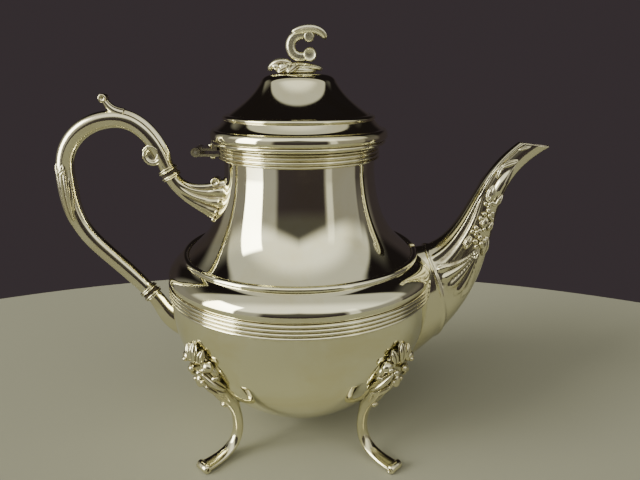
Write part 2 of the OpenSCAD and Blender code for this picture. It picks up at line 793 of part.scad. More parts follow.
// The body's leaf carries the two outer knuckles and is soldered to the mouth moulding
module hinge_body_leaf() {
    low = hinge_z - knuckle_r + leaf_bite;
    width = knuckle_w - knuckle_gap;
    plate_x = hinge_x + knuckle_r + knuckle_gap;
    plate_w = hinge_w - knuckle_gap - 2 * leaf_bite;
    color(cast_silver) difference() {
        union() {
            for (side = [-1, 1]) {
                knuckle(side * knuckle_w, width);
                translate([hinge_x, side * knuckle_w - width / 2 + leaf_bite, low])
                    cube([knuckle_r + 1.6, width - 2 * leaf_bite, leaf_t]);
            }
            translate([plate_x, -plate_w / 2, low]) cube([-plate_x - neck_r, plate_w, leaf_t]);
        }
        pin_hole();
        translate([0, 0, z_mouth - mouth_band_h])
            cylinder(r = neck_r + mouth_band_w + 2 * solder_gap, h = 2 * mouth_band_h);
    }
}

// The lid's leaf carries the middle knuckle, lies level with its top and rises outside the mouth
// moulding to the lid's rolled rim
module hinge_lid_leaf() {
    top = hinge_z + knuckle_r - leaf_bite;
    width = knuckle_w - knuckle_gap;
    plate_w = hinge_w - knuckle_gap;
    plate_x = hinge_x + knuckle_r + knuckle_gap;
    riser_x = -(neck_r + mouth_band_w + lid_gap);
    color(cast_silver) difference() {
        union() {
            knuckle(0, width);
            translate([hinge_x, -width / 2 + leaf_bite, top - leaf_t])
                cube([plate_x - hinge_x + 1, width - 2 * leaf_bite, leaf_t]);
            translate([plate_x, -plate_w / 2, top - leaf_t])
                cube([riser_x - plate_x, plate_w, leaf_t]);
            translate([riser_x - riser_t, -plate_w / 2, top - leaf_t])
                cube([riser_t, plate_w, z_lid + riser_t - top + leaf_t]);
            translate([riser_x - riser_t, -plate_w / 2, z_lid + knuckle_gap])
                cube([riser_t + 2, plate_w, riser_t - knuckle_gap]);
        }
        pin_hole();
        lid_form(solder_gap);
    }
}

// ---- Finial ----------------------------------------------------------------------------------

finial_middle = [finial_shift, z_crown + finial_rise + finial_r];
scroll_from = 62;
scroll_to = 322;

module finial() {
    mid_r = finial_r - finial_a;
    steps = 22;
    scroll = [for (i = [0 : steps]) let (turn = scroll_from + (scroll_to - scroll_from) * i / steps)
        finial_middle + mid_r * [cos(turn), sin(turn)]];
    color(cast_silver) difference() {
        union() {
            sweep(scroll, [for (i = [0 : steps]) finial_a * (0.75 + 0.25 * sin(180 * i / steps))],
                  [for (i = [0 : steps]) finial_a * 1.1], 14);
            // Curl at the scroll's lower end
            across(finial_middle + (mid_r + 0.9) * [cos(scroll_to), sin(scroll_to)])
                cylinder(r = finial_a * 1.15, h = finial_a * 2.4, center = true, $fn = 24);
            finial_leaf();
            finial_cluster();
            // Boss that holds the stud
            translate([0, 0, z_crown]) cylinder(r = finial_boss_r, h = finial_boss_h);
        }
        stud_hole(z_crown - wall, stud_grip + wall + 0.2);
        lid_form(solder_gap);
    }
}

// Leaf that runs on from the scroll's top
module finial_leaf() {
    root = finial_middle + (finial_r - finial_a) * [cos(100), sin(100)];
    steps = 8;
    sweep([for (i = [0 : steps])
               bezier(root, root + finial_leaf_l * [0.33, 0.28],
                      root + finial_leaf_l * [0.92, 0.25],
                      root + finial_leaf_l * [1, -0.22], i / steps)],
          [for (i = [0 : steps]) finial_a * (0.55 + 0.35 * sin(180 * i / steps))],
          [for (i = [0 : steps]) finial_a * (0.9 + 0.5 * sin(180 * i / steps))], 12);
}

cluster_rise = 5.6;

// Cluster of leaves that covers the top of the lid, higher on the handle's side
module finial_cluster() {
    steps = 12;
    swell = [for (i = [0 : steps]) sin(180 * (i + 0.1) / (steps + 0.2))];
    sweep([for (i = [0 : steps]) let (s = i / steps)
               [finial_base_w * (2 * s - 1.1), z_crown + 1 + cluster_rise * sin(180 * s) * (1 - s)]],
          [for (i = [0 : steps]) finial_base_a * (0.16 + 0.84 * pow(swell[i], 0.6))],
          [for (i = [0 : steps]) finial_base_b * (0.07 + 0.93 * pow(swell[i], 0.7))], 18);
}

// Length of the stud inside the finial
stud_grip = 3.4;
// Levels of the washer and nut, each a fine seat below what it bears on
washer_z = z_crown - wall - washer_t - solder_gap;
nut_z = washer_z - nut_h - solder_gap;

module finial_stud() {
    color(silver) translate([0, 0, nut_z - 1])
        cylinder(r = stud_r, h = z_crown + stud_grip - nut_z + 1, $fn = 32);
}

module finial_washer() {
    color(silver) difference() {
        translate([0, 0, washer_z]) cylinder(r = nut_r + 1.2, h = washer_t, $fn = 48);
        stud_hole(washer_z - 1, washer_t + 2);
    }
}

module finial_nut() {
    color(silver) difference() {
        translate([0, 0, nut_z]) cylinder(r = nut_r, h = nut_h, $fn = 6);
        stud_hole(nut_z - 1, nut_h + 2);
    }
}

lower_body();
upper_body();
girdle_moulding();
shoulder_moulding();
mouth_moulding();
spout();
leg_front_left();
leg_front_right();
leg_rear_left();
leg_rear_right();
upper_socket();
upper_insulator();
upper_socket_pin();
upper_handle_pin();
lower_socket();
lower_insulator();
lower_socket_pin();
lower_handle_pin();
handle();
hinge_body_leaf();
hinge_pin();
hinge_lid_leaf();
lid_dome();
lid_step_moulding();
lid_bezel();
finial();
finial_stud();
finial_washer();
finial_nut();
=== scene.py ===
# %% [markdown]
# # Dressing a silver coffee pot
#
# The imported CAD model gives every solid at its true size and place.  This lesson lays the looks
# over it: spun sheet that is smooth enough to mirror a room, castings with chased leaves, a
# polished finish with tarnish and painted shade in its hollows, and a small studio.  Pieces are
# drawn in millimetres and brought to metres as they are finished, and each one rides on a CAD
# body.

# %% Load the frame
import math

import bmesh
import bpy
from mathutils import Matrix, Vector


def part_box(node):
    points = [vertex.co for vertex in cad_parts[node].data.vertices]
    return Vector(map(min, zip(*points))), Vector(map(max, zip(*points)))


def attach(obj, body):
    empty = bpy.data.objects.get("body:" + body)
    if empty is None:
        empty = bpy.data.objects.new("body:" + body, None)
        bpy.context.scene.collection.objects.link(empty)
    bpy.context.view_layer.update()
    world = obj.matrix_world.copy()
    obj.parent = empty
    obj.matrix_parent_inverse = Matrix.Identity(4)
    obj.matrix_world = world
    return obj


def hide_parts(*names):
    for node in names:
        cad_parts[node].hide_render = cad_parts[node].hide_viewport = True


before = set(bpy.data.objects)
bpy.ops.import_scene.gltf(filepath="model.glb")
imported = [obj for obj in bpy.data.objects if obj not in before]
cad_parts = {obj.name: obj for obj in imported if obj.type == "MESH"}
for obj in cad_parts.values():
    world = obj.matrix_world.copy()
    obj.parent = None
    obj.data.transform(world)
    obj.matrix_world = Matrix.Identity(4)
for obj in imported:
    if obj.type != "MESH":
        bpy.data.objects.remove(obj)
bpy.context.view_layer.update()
MM = 0.001


def low(node, axis):
    """Lowest coordinate of a CAD node along an axis, in millimetres."""
    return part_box(node)[0][axis] / MM


def high(node, axis):
    """Highest coordinate of a CAD node along an axis, in millimetres."""
    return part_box(node)[1][axis] / MM


# %% [markdown]
# ## The camera first
#
# The pot is seen from slightly above its lid with a fairly wide lens, so its ellipses open
# towards the bottom.  Camera and pot share one frame, so the camera stands in the pot's own
# millimetres.  Its focal length is known in pixels of the frame's width and Blender wants it in
# millimetres of film, so the film's width turns the one into the other.

# %% Camera
FRAME_W = 640
FILM_W = 36
FOCAL_PX = 550
CAMERA_AT = Vector((10.23, -274.23, 188.25))
CAMERA_DIP = 17.08
NEAREST = 0.01


def shown(name, data):
    """A new object in the scene that shows the data."""
    made = bpy.data.objects.new(name, data)
    bpy.context.scene.collection.objects.link(made)
    return made


camera_data = bpy.data.cameras.new("camera")
camera_data.sensor_width = FILM_W
camera_data.lens = FILM_W * FOCAL_PX / FRAME_W
camera_data.clip_start = NEAREST
camera = shown("camera", camera_data)
camera.location = CAMERA_AT * MM
camera.rotation_euler = (math.radians(90 - CAMERA_DIP), 0, 0)
bpy.context.scene.camera = camera
print("lens", round(camera_data.lens, 2), "mm")

# %% [markdown]
# ## Tools for the workshop
#
# A spun piece is an outline turned on a lathe, so `spun` spins one.  A casting is a bar whose
# section changes on its way, so `wrapped` rolls a grid up into a tube and asks a function where
# each corner goes.  The same function can press flutes and veins into the surface, and it
# reports how deep each corner lies, which the finish later uses to paint tarnish and shade there.

# %% Curves
def bezier(a, b, c, d, t):
    """Point at t on a cubic curve with ends a and d and handles b and c."""
    s = 1 - t
    return s * s * s * a + 3 * s * s * t * b + 3 * s * t * t * c + t * t * t * d


def curve(a, b, c, d, steps):
    """Points from t = 0 up to, but not with, t = 1."""
    return [bezier(a, b, c, d, i / steps) for i in range(steps)]


def at(x, z):
    """A point of the pot's middle plane."""
    return Vector((x, 0, z))


def smooth(edge_0, edge_1, x):
    """0 before edge_0, 1 after edge_1, and an S-curve in between."""
    s = min(max((x - edge_0) / (edge_1 - edge_0), 0), 1)
    return s * s * (3 - 2 * s)


def bump(centre, half_width, x):
    """1 at the centre, 0 from half_width away, and round on top."""
    s = (x - centre) / half_width
    return (1 - s * s) ** 2 if abs(s) < 1 else 0


def wave(x):
    """A row of round-topped ribs with sharp grooves at whole numbers, from 0 to 1."""
    return abs(math.sin(math.pi * x))


# %% Turns and directions
def off_top(turn):
    """Degrees between a turn and 0, by the shorter way round."""
    return abs((turn + 180) % 360 - 180)


NUDGE = 1e-3


def heading(path, t):
    """Direction of path(t) at t."""
    return (path(min(t + NUDGE, 1)) - path(max(t - NUDGE, 0))).normalized()


def beside(outline, w):
    """The outline moved by w to the left of its direction in the XZ plane."""
    moved = []
    for i, p in enumerate(outline):
        d = outline[min(i + 1, len(outline) - 1)] - outline[max(i - 1, 0)]
        d.normalize()
        moved.append(p + w * Vector((-d.z, 0, d.x)))
    return moved

# %% From a mesh to a finished piece
SHARP_ANGLE = math.radians(70)
SAME_PLACE = 1e-4


def finish_piece(name, bm, materials, body, stands_for=(), sharp=SHARP_ANGLE):
    """Scales a mesh to metres and makes it a piece that rides on a body."""
    bmesh.ops.scale(bm, vec=(MM, MM, MM), verts=bm.verts)
    mesh = bpy.data.meshes.new(name)
    bm.to_mesh(mesh)
    bm.free()
    for material in materials:
        mesh.materials.append(material)
    mesh.polygons.foreach_set("use_smooth", [True] * len(mesh.polygons))
    mesh.set_sharp_from_angle(angle=sharp)
    piece = shown(name, mesh)
    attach(piece, body)
    if stands_for:
        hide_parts(*stands_for)
    print(name, len(mesh.polygons), "faces")
    return piece


def join(target, other):
    """Adds the mesh of other to target."""
    spare = bpy.data.meshes.new("spare")
    other.to_mesh(spare)
    target.from_mesh(spare)
    bpy.data.meshes.remove(spare)
    other.free()


def close_ends(bm):
    """Fills every open rim with a face and turns all faces outwards."""
    rims = [e for e in bm.edges if e.is_boundary]
    if rims:
        bmesh.ops.holes_fill(bm, edges=rims, sides=0)
    bmesh.ops.recalc_face_normals(bm, faces=bm.faces)

# %% Spinning
LATHE_STEPS = 256


def spun(outline, steps=LATHE_STEPS, start=0.0, sweep=360.0):
    """A closed outline of the XZ plane turned about the Z axis, from start through sweep."""
    bm = bmesh.new()
    corners = [bm.verts.new(p) for p in outline]
    edges = [bm.edges.new((a, b)) for a, b in zip(corners, corners[1:] + corners[:1])]
    turn = Matrix.Rotation(math.radians(start), 3, "Z")
    bmesh.ops.rotate(bm, verts=bm.verts, cent=(0, 0, 0), matrix=turn)
    whole = sweep == 360.0
    bmesh.ops.spin(bm, geom=corners + edges, cent=(0, 0, 0), axis=(0, 0, 1), steps=steps,
                   angle=math.radians(sweep), use_merge=whole)
    bmesh.ops.remove_doubles(bm, verts=bm.verts, dist=SAME_PLACE)
    close_ends(bm)
    return bm


def turned(points, steps=48):
    """A solid turned about the Z axis. points give radius and height from hub to hub."""
    bm = bmesh.new()
    corners = [bm.verts.new((r, 0, h)) for r, h in points]
    edges = [bm.edges.new(pair) for pair in zip(corners, corners[1:])]
    bmesh.ops.spin(bm, geom=corners + edges, cent=(0, 0, 0), axis=(0, 0, 1), steps=steps,
                   angle=math.tau, use_merge=True)
    bmesh.ops.remove_doubles(bm, verts=bm.verts, dist=SAME_PLACE)
    close_ends(bm)
    return bm


def rounded(corner, before, after, radius, steps=4):
    """Points that round the corner between its two neighbours by about the radius."""
    a = corner + (before - corner).normalized() * radius
    b = corner + (after - corner).normalized() * radius
    shares = [i / steps for i in range(steps + 1)]
    return [a.lerp(corner, t).lerp(corner.lerp(b, t), t) for t in shares]


# %% Rolling up a grid
def wrapped(around, along, place):
    """A tube of around by along faces. place(u, v) gives a corner and how deep it lies."""
    bm = bmesh.new()
    bmesh.ops.create_grid(bm, x_segments=around, y_segments=along, size=0.5)
    depth = bm.verts.layers.float.new("hollow")
    for v in bm.verts:
        co, hollow = place(v.co.x + 0.5, v.co.y + 0.5)
        v.co = co
        v[depth] = hollow
    seam = [v for v in bm.verts if v.is_boundary]
    bmesh.ops.remove_doubles(bm, verts=seam, dist=SAME_PLACE)
    close_ends(bm)
    return bm


def limb(path, size, around, along, relief=None, out=None, caps=(0.0, 0.0)):
    """A bar along path(t) with half sizes size(t), first out of its surface and then across.

    relief(turn, t) gives how far the surface stands out and how deep it is.  The turn is in
    degrees from the direction out(t), or from the left of a path in the middle plane.  caps are
    the shares of the path that its rounded ends take."""
    def place(u, v):
        shrink = 1.0
        for cap, share in ((caps[0], v), (caps[1], 1 - v)):
            if cap and share < cap:
                shrink = math.sqrt(max(1 - (1 - share / cap) ** 2, 0))
        ahead = heading(path, v)
        up = out(v) if out else at(ahead.z, -ahead.x)
        up = (up - ahead * up.dot(ahead)).normalized()
        turn = 360 * u
        a, b = size(v)
        stand, hollow = relief(turn, v) if relief else (0, 0)
        angle = math.radians(turn)
        return path(v) + shrink * (up * math.cos(angle) * (a + stand)
                                   + ahead.cross(up) * math.sin(angle) * (b + stand)), hollow

    return wrapped(around, along, place)


# %% Seeds, leaves and flowers
def seed(bm, centre, along, out, size):
    """Adds an egg shape. size is its length along, its width and its height."""
    egg = bmesh.new()
    bmesh.ops.create_uvsphere(egg, u_segments=14, v_segments=9, radius=0.5)
    along = along.normalized()
    out = (out - along * out.dot(along)).normalized()
    axes = Matrix((along.cross(out) * size[1], out * size[2], along * size[0])).transposed()
    bmesh.ops.transform(egg, verts=egg.verts, matrix=Matrix.Translation(centre) @ axes.to_4x4())
    join(bm, egg)


def leaf(bm, line, out, width, height, ribs=2, blunt=0.7):
    """Adds a leaf along line(t) whose face looks to out(t), with grooves between its ribs."""
    def size(t):
        spread = math.sin(math.pi * (0.06 + 0.92 * t)) ** blunt
        return height * (0.3 + 0.7 * spread), width * spread

    def relief(turn, t):
        if 90 <= turn <= 270:
            return 0, 0
        rib = wave((math.sin(math.radians(turn)) + 1) * ribs / 2)
        return -0.4 * height * (1 - rib), (1 - rib) ** 3

    join(bm, limb(line, size, 28, 16, relief, out, caps=(0.06, 0.06)))


def laid_leaf(bm, start, end, place, out, width, height, ribs=2, blunt=0.7):
    """Adds a leaf that runs from start to end on a surface, in the surface's own numbers.

    place(q, *numbers) gives the leaf's line at q and out(*numbers) the way that it faces."""
    def numbers(q):
        return [a + (b - a) * q for a, b in zip(start, end)]

    leaf(bm, lambda q: place(q, *numbers(q)), lambda q: out(*numbers(q)), width, height, ribs,
         blunt)


def flower(bm, centre, along, out, reach, petals):
    """Adds an open flower: a bead with a ring of petals that lean outwards."""
    seed(bm, centre + out * reach * 0.3, along, out, (reach * 0.7, reach * 0.7, reach * 0.6))
    for i in range(petals):
        petal = Matrix.Rotation(math.tau * (i + 0.3) / petals, 3, out) @ along
        seed(bm, centre + petal * reach * 0.62, petal, out + petal * 0.4,
             (reach * 0.85, reach * 3.3 / petals, reach * 0.55))

# %% [markdown]
# ## Finishes
#
# The spun sheet is polished until it mirrors, yet a hand-polished plate is never quite flat or
# quite clean: faint waves bend its reflections, hairlines run through it and a breath of tarnish
# and painted shade warms its corners.  The castings are duller, yellower and nearly black in
# their hollows, which is tarnish and painted shade, the finial is satin, the inside is stained and
# the pins are nickel.  That is one recipe with five sets of values, and only the insulators'
# pressed fibre needs its own.  Scratches, smudges and tarnish with painted shade are shader node
# groups, so each metal takes them in the same way.

# %% Node helpers
def node(tree, kind, inputs=None, **settings):
    """A new node with its inputs set to values or linked to sockets."""
    made = tree.nodes.new(kind)
    for key, value in settings.items():
        setattr(made, key, value)
    for key, value in (inputs or {}).items():
        socket = made.inputs[key]
        if isinstance(value, bpy.types.NodeSocket):
            tree.links.new(value, socket)
        else:
            socket.default_value = value
    return made


def group(name, inputs, outputs):
    """An empty node group with float or vector sockets, and its two end nodes."""
    tree = bpy.data.node_groups.new(name, "ShaderNodeTree")
    for in_out, sockets in (("INPUT", inputs), ("OUTPUT", outputs)):
        for label, kind in sockets.items():
            tree.interface.new_socket(label, in_out=in_out, socket_type=f"NodeSocket{kind}")
    return tree, tree.nodes.new("NodeGroupInput"), tree.nodes.new("NodeGroupOutput")


def placed(tree, shared, **values):
    """A shared group placed in a material, with underscores for the blanks in its inputs."""
    return node(tree, "ShaderNodeGroup", {k.replace("_", " "): v for k, v in values.items()},
                node_tree=shared)


def ramp(tree, factor, stops):
    """A colour ramp whose stops are position to grey value."""
    made = node(tree, "ShaderNodeValToRGB", {"Fac": factor})
    made.color_ramp.elements[0].position, made.color_ramp.elements[1].position = 0, 1
    while len(made.color_ramp.elements) < len(stops):
        made.color_ramp.elements.new(0.5)
    for element, (position, value) in zip(made.color_ramp.elements, stops):
        element.position = position
        element.color = (value, value, value, 1)
    return made.outputs["Color"]

# %% Shared effect: hairlines and waves of hand polishing
hairlines, ends_in, ends_out = group(
    "hairlines", {"Position": "Vector", "Scale": "Float"}, {"Height": "Float", "Wear": "Float"})
stretched = node(hairlines, "ShaderNodeVectorMath",
                 {0: ends_in.outputs["Position"], 1: (1.0, 1.0, 9.0)}, operation="MULTIPLY")
crossing = node(hairlines, "ShaderNodeVectorMath",
                {0: ends_in.outputs["Position"], 1: (7.0, 2.0, 1.0)}, operation="MULTIPLY")
lines_a = node(hairlines, "ShaderNodeTexNoise",
               {"Vector": stretched.outputs[0], "Scale": ends_in.outputs["Scale"], "Detail": 6.0,
                "Roughness": 0.7})
lines_b = node(hairlines, "ShaderNodeTexNoise",
               {"Vector": crossing.outputs[0], "Scale": ends_in.outputs["Scale"], "Detail": 6.0,
                "Roughness": 0.7})
lines = node(hairlines, "ShaderNodeMath", {0: lines_a.outputs["Fac"], 1: lines_b.outputs["Fac"]},
             operation="MAXIMUM")
hairlines.links.new(lines.outputs[0], ends_out.inputs["Height"])
hairlines.links.new(ramp(hairlines, lines.outputs[0], [(0.55, 0.0), (0.8, 1.0)]),
                    ends_out.inputs["Wear"])

# %% Shared effect: smudges
smudges, ends_in, ends_out = group(
    "smudges", {"Position": "Vector", "Scale": "Float"}, {"Mask": "Float"})
broad = node(smudges, "ShaderNodeTexNoise",
             {"Vector": ends_in.outputs["Position"], "Scale": ends_in.outputs["Scale"],
              "Detail": 5.0, "Roughness": 0.6, "Distortion": 0.6})
smudges.links.new(ramp(smudges, broad.outputs["Fac"], [(0.42, 0.0), (0.7, 1.0)]),
                  ends_out.inputs["Mask"])

# %% Shared effect: tarnish with painted shade in hollows and shut corners
TARNISH_SCALE = 420.0
# Tarnish and painted shade: the mask grows with the hollow depth and with shut corners, broken up
# by tarnish patches.
tarnish_and_shade, ends_in, ends_out = group(
    "tarnish_and_shade", {"Position": "Vector", "Hollow": "Float", "Spread": "Float"}, {"Mask": "Float"})
patches = node(tarnish_and_shade, "ShaderNodeTexNoise",
               {"Vector": ends_in.outputs["Position"], "Scale": TARNISH_SCALE, "Detail": 5.0,
                "Roughness": 0.6})
broken = node(tarnish_and_shade, "ShaderNodeMath",
              {0: patches.outputs["Fac"], 1: -0.5}, operation="ADD")
reach = node(tarnish_and_shade, "ShaderNodeMath",
             {0: broken.outputs[0], 1: 0.5, 2: ends_in.outputs["Hollow"]},
             operation="MULTIPLY_ADD")
spread = node(tarnish_and_shade, "ShaderNodeMath",
              {0: reach.outputs[0], 1: ends_in.outputs["Spread"]}, operation="MULTIPLY")
tarnish_and_shade.links.new(ramp(tarnish_and_shade, spread.outputs[0], [(0.22, 0.0), (0.85, 1.0)]),
                  ends_out.inputs["Mask"])
print("shared effects", hairlines.name, smudges.name, tarnish_and_shade.name)

# %% A metal finish from the shared effects
# Noise scales in features per metre, and how far a corner's shade reaches in metres
HAIRLINE_SCALE = 260.0
SMUDGE_SCALE = 34.0
WAVE_SCALE = 55.0
CORNER_REACH = 0.0012


def new_material(name):
    """A new material, its node tree and its shader."""
    material = bpy.data.materials.new(name)
    material.use_nodes = True
    return material, material.node_tree, material.node_tree.nodes["Principled BSDF"]


def metal(name, clean, dull, tarnish_and_shade_colour, roughness, wave_height, line_height):
    """A metal that runs from clean to dull with smudges, and to dark in its hollows.

    roughness gives the values of clean, dull and tarnished metal."""
    material, tree, shader = new_material(name)
    shader.inputs["Metallic"].default_value = 1.0
    here = node(tree, "ShaderNodeTexCoord").outputs["Object"]
    hollow = node(tree, "ShaderNodeAttribute", attribute_name="hollow").outputs["Fac"]
    # Painted shade: one minus ambient occlusion marks shut corners, and together with the hollow
    # depth it darkens the colour as tarnish and shade.
    corners = node(tree, "ShaderNodeAmbientOcclusion", {"Distance": CORNER_REACH}, samples=4)
    shut = node(tree, "ShaderNodeMath", {0: 1.0, 1: corners.outputs["AO"]}, operation="SUBTRACT")
    deep = node(tree, "ShaderNodeMath", {0: hollow, 1: shut.outputs[0]}, operation="MAXIMUM")
    wear = placed(tree, hairlines, Position=here, Scale=HAIRLINE_SCALE)
    breath = placed(tree, smudges, Position=here, Scale=SMUDGE_SCALE)
    tarnish_and_shade_mask = placed(tree, tarnish_and_shade, Position=here, Hollow=deep.outputs[0], Spread=1.0)

    colour = node(tree, "ShaderNodeMix",
                  {"Factor": breath.outputs["Mask"], "A": clean, "B": dull}, data_type="RGBA")
    # Tarnish and painted shade: hollows and shut corners turn towards the dark colour.
    colour = node(tree, "ShaderNodeMix",
                  {"Factor": tarnish_and_shade_mask.outputs["Mask"], "A": colour.outputs["Result"], "B": tarnish_and_shade_colour},
                  data_type="RGBA")
    tree.links.new(colour.outputs["Result"], shader.inputs["Base Color"])

    rough = node(tree, "ShaderNodeMapRange",
                 {"Value": breath.outputs["Mask"], "To Min": roughness[0], "To Max": roughness[1]})
    rough = node(tree, "ShaderNodeMath",
                 {0: wear.outputs["Wear"], 1: roughness[1] - roughness[0],
                  2: rough.outputs["Result"]}, operation="MULTIPLY_ADD")
    rough = node(tree, "ShaderNodeMix",
                 {"Factor": tarnish_and_shade_mask.outputs["Mask"], "A": rough.outputs[0], "B": roughness[2]})
    tree.links.new(rough.outputs["Result"], shader.inputs["Roughness"])

    waves = node(tree, "ShaderNodeTexNoise", {"Vector": here, "Scale": WAVE_SCALE, "Detail": 1.0})
    first = node(tree, "ShaderNodeBump",
                 {"Height": waves.outputs["Fac"], "Distance": wave_height, "Strength": 1.0})
    second = node(tree, "ShaderNodeBump",
                  {"Height": wear.outputs["Height"], "Distance": line_height, "Strength": 1.0,
                   "Normal": first.outputs["Normal"]})
    tree.links.new(second.outputs["Normal"], shader.inputs["Normal"])
    return material

# %% Five metals
# The third colour of each metal is its tarnish and painted shade in hollows and shut corners.
plate = metal("polished_plate", (0.94, 0.92, 0.70, 1), (0.88, 0.83, 0.55, 1),
              (0.30, 0.24, 0.14, 1), (0.03, 0.09, 0.4), 0.00003, 0.000002)
casting = metal("cast_silver", (0.86, 0.83, 0.62, 1), (0.74, 0.69, 0.45, 1),
                (0.13, 0.10, 0.06, 1), (0.10, 0.20, 0.5), 0.00005, 0.000006)
satin = metal("satin_cast", (0.92, 0.90, 0.68, 1), (0.82, 0.78, 0.52, 1),
              (0.22, 0.17, 0.10, 1), (0.30, 0.42, 0.5), 0.00004, 0.000004)
lining = metal("stained_inside", (0.72, 0.67, 0.56, 1), (0.52, 0.44, 0.31, 1),
               (0.12, 0.08, 0.05, 1), (0.22, 0.36, 0.55), 0.00004, 0.00001)
nickel = metal("pin_nickel", (0.80, 0.78, 0.73, 1), (0.70, 0.67, 0.60, 1),
               (0.12, 0.10, 0.08, 1), (0.16, 0.28, 0.5), 0.00001, 0.00001)
print("metals", plate.name, casting.name, satin.name, lining.name, nickel.name)

# %% A finish for the insulators
FLECK_SCALE = 900.0


def pressed_fibre():
    """Dark pressed fibre with flecks and a dull, slightly open surface."""
    material, tree, shader = new_material("pressed_fibre")
    here = node(tree, "ShaderNodeTexCoord").outputs["Object"]
    grain = node(tree, "ShaderNodeTexNoise",
                 {"Vector": here, "Scale": FLECK_SCALE, "Detail": 6.0, "Roughness": 0.7})
    colour = node(tree, "ShaderNodeMix",
                  {"Factor": grain.outputs["Fac"], "A": (0.02, 0.014, 0.01, 1),
                   "B": (0.09, 0.065, 0.045, 1)}, data_type="RGBA")
    tree.links.new(colour.outputs["Result"], shader.inputs["Base Color"])
    rough = node(tree, "ShaderNodeMapRange",
                 {"Value": grain.outputs["Fac"], "To Min": 0.45, "To Max": 0.75})
    tree.links.new(rough.outputs["Result"], shader.inputs["Roughness"])
    relief = node(tree, "ShaderNodeBump", {"Height": grain.outputs["Fac"], "Distance": 0.00005})
    tree.links.new(relief.outputs["Normal"], shader.inputs["Normal"])
    return material


fibre = pressed_fibre()
print("fibre", fibre.name)

# %% [markdown]
# ## The spun body
#
# The bowl, and the belly with the neck, are spun from sheet and soldered at a seam that the
# girdle hides.  Each is one outline: the outer curve going up, a small turn at the rim, and the
# inner curve coming back a wall's thickness away.  A mirror shows every kink in a curve, so the
# outlines are cut into many short steps.

# %% Body curves
WALL = 1.2
FOOT_DISC_R = 20
SEAM_R = 66.6
SHOULDER_R = 60.8
NECK_R = 37.2
NECK_STRAIGHT_H = 10
CURVE_STEPS = 40
BELLY_STEPS = 16
z_bottom = low("lower_body", 2)
z_girdle = high("lower_body", 2)
z_girdle_low = low("girdle_moulding", 2)
z_shoulder = low("shoulder_moulding", 2)
z_mouth = high("upper_body", 2)
side_r = SEAM_R - 0.2

bowl_line = curve(at(FOOT_DISC_R, z_bottom), at(FOOT_DISC_R + 6, z_bottom + 0.2),
                  at(side_r + 5, z_girdle_low - 39), at(side_r, z_girdle_low), CURVE_STEPS)
belly_line = curve(at(SEAM_R, z_girdle), at(SEAM_R + 2.8, z_girdle + 3.4),
                   at(SHOULDER_R + 4.6, z_shoulder - 2.4), at(SHOULDER_R, z_shoulder),
                   BELLY_STEPS)
neck_line = curve(at(SHOULDER_R, z_shoulder), at(SHOULDER_R - 8.8, z_shoulder + 6.8),
                  at(NECK_R + 1.2, z_mouth - NECK_STRAIGHT_H - 32),
                  at(NECK_R, z_mouth - NECK_STRAIGHT_H), CURVE_STEPS)
body_line = bowl_line + [at(side_r, z_girdle_low)] + belly_line + neck_line + [at(NECK_R, z_mouth)]


# %% Help with the body
def body_r(z):
    """Outer radius of the body at height z."""
    for p, q in zip(body_line, body_line[1:]):
        if p.z <= z <= q.z:
            return p.x + (q.x - p.x) * (z - p.z) / max(q.z - p.z, 1e-6)
    return NECK_R if z > z_mouth else FOOT_DISC_R


def stain_inside(bm, lean=0.0, top=math.inf):
    """Gives the second material to the faces below top that look inwards.

    Outwards is away from the axis and up by lean, so that it holds for a closed end too."""
    for face in bm.faces:
        middle = face.calc_center_median()
        inwards = face.normal.dot(Vector((middle.x, middle.y, lean))) < 0
        face.material_index = 1 if inwards and middle.z < top else 0


print("body radius at the seam", round(body_r(z_girdle), 2), "mm")

# %% Bowl
underside = [at(0, z_bottom), at(FOOT_DISC_R - 2, z_bottom),
             at(FOOT_DISC_R - 0.6, z_bottom + 0.08)]
outer = underside + bowl_line[1:] + [at(side_r, z_girdle_low), at(SEAM_R, z_girdle)]
inner = [at(0, z_bottom + WALL)] + beside(outer, WALL)[2:]
inner[-1].z = z_girdle
bowl = spun(outer + inner[::-1])
stain_inside(bowl, lean=-12)
bowl = finish_piece("bowl", bowl, [plate, lining], "pot", ["lower_body"])

# %% Belly and neck
RIM_ROUND = 0.4
outer = belly_line + neck_line + [at(NECK_R, z_mouth - 0.5)]
inner = beside(outer, WALL)
inner[0].z = z_girdle
rim_out, rim_in = at(NECK_R, z_mouth), at(NECK_R - WALL, z_mouth)
rim = (rounded(rim_out, rim_out - at(0, 1), rim_in, RIM_ROUND)
       + rounded(rim_in, rim_out, rim_in - at(0, 1), RIM_ROUND))
neck = spun(outer + rim + inner[::-1])
stain_inside(neck, top=z_mouth - 0.6)
neck = finish_piece("belly_and_neck", neck, [plate, lining], "pot", ["upper_body"])

# %% [markdown]
# ## Mouldings
#
# A girdle of four half-round reeds hides the seam, a single bead marks the shoulder and a
# reeded collar stiffens the mouth.  They are drawn wire soldered round the body, so each is a
# spun outline too.  Girdle and bead stop at the spout, which stands on the body there.

# %% Reeds
def reed_stack(r, z, heights, proud, steps=10):
    """Half-round reeds one above the other, on radius r from z upwards."""
    points = []
    for h in heights:
        points += [at(r + proud * math.sin(math.pi * i / steps) ** 0.8, z + h * i / steps)
                   for i in range(steps)]
        z += h
    return points + [at(r, z)]


# Degrees from the spout's middle to where the moulding stops
GIRDLE_END = 9.5
GIRDLE_REEDS = 4
GIRDLE_REED = 0.98
girdle_in = side_r + 0.05
girdle_h = (z_girdle - z_girdle_low) / GIRDLE_REEDS
girdle = spun(reed_stack(SEAM_R + 0.24, z_girdle_low, [girdle_h] * GIRDLE_REEDS,
                         GIRDLE_REED)
              + [at(girdle_in, z_girdle), at(girdle_in, z_girdle_low)],
              start=GIRDLE_END, sweep=360 - 2 * GIRDLE_END)
girdle = finish_piece("girdle_reeds", girdle, [plate], "pot", ["girdle_moulding"])

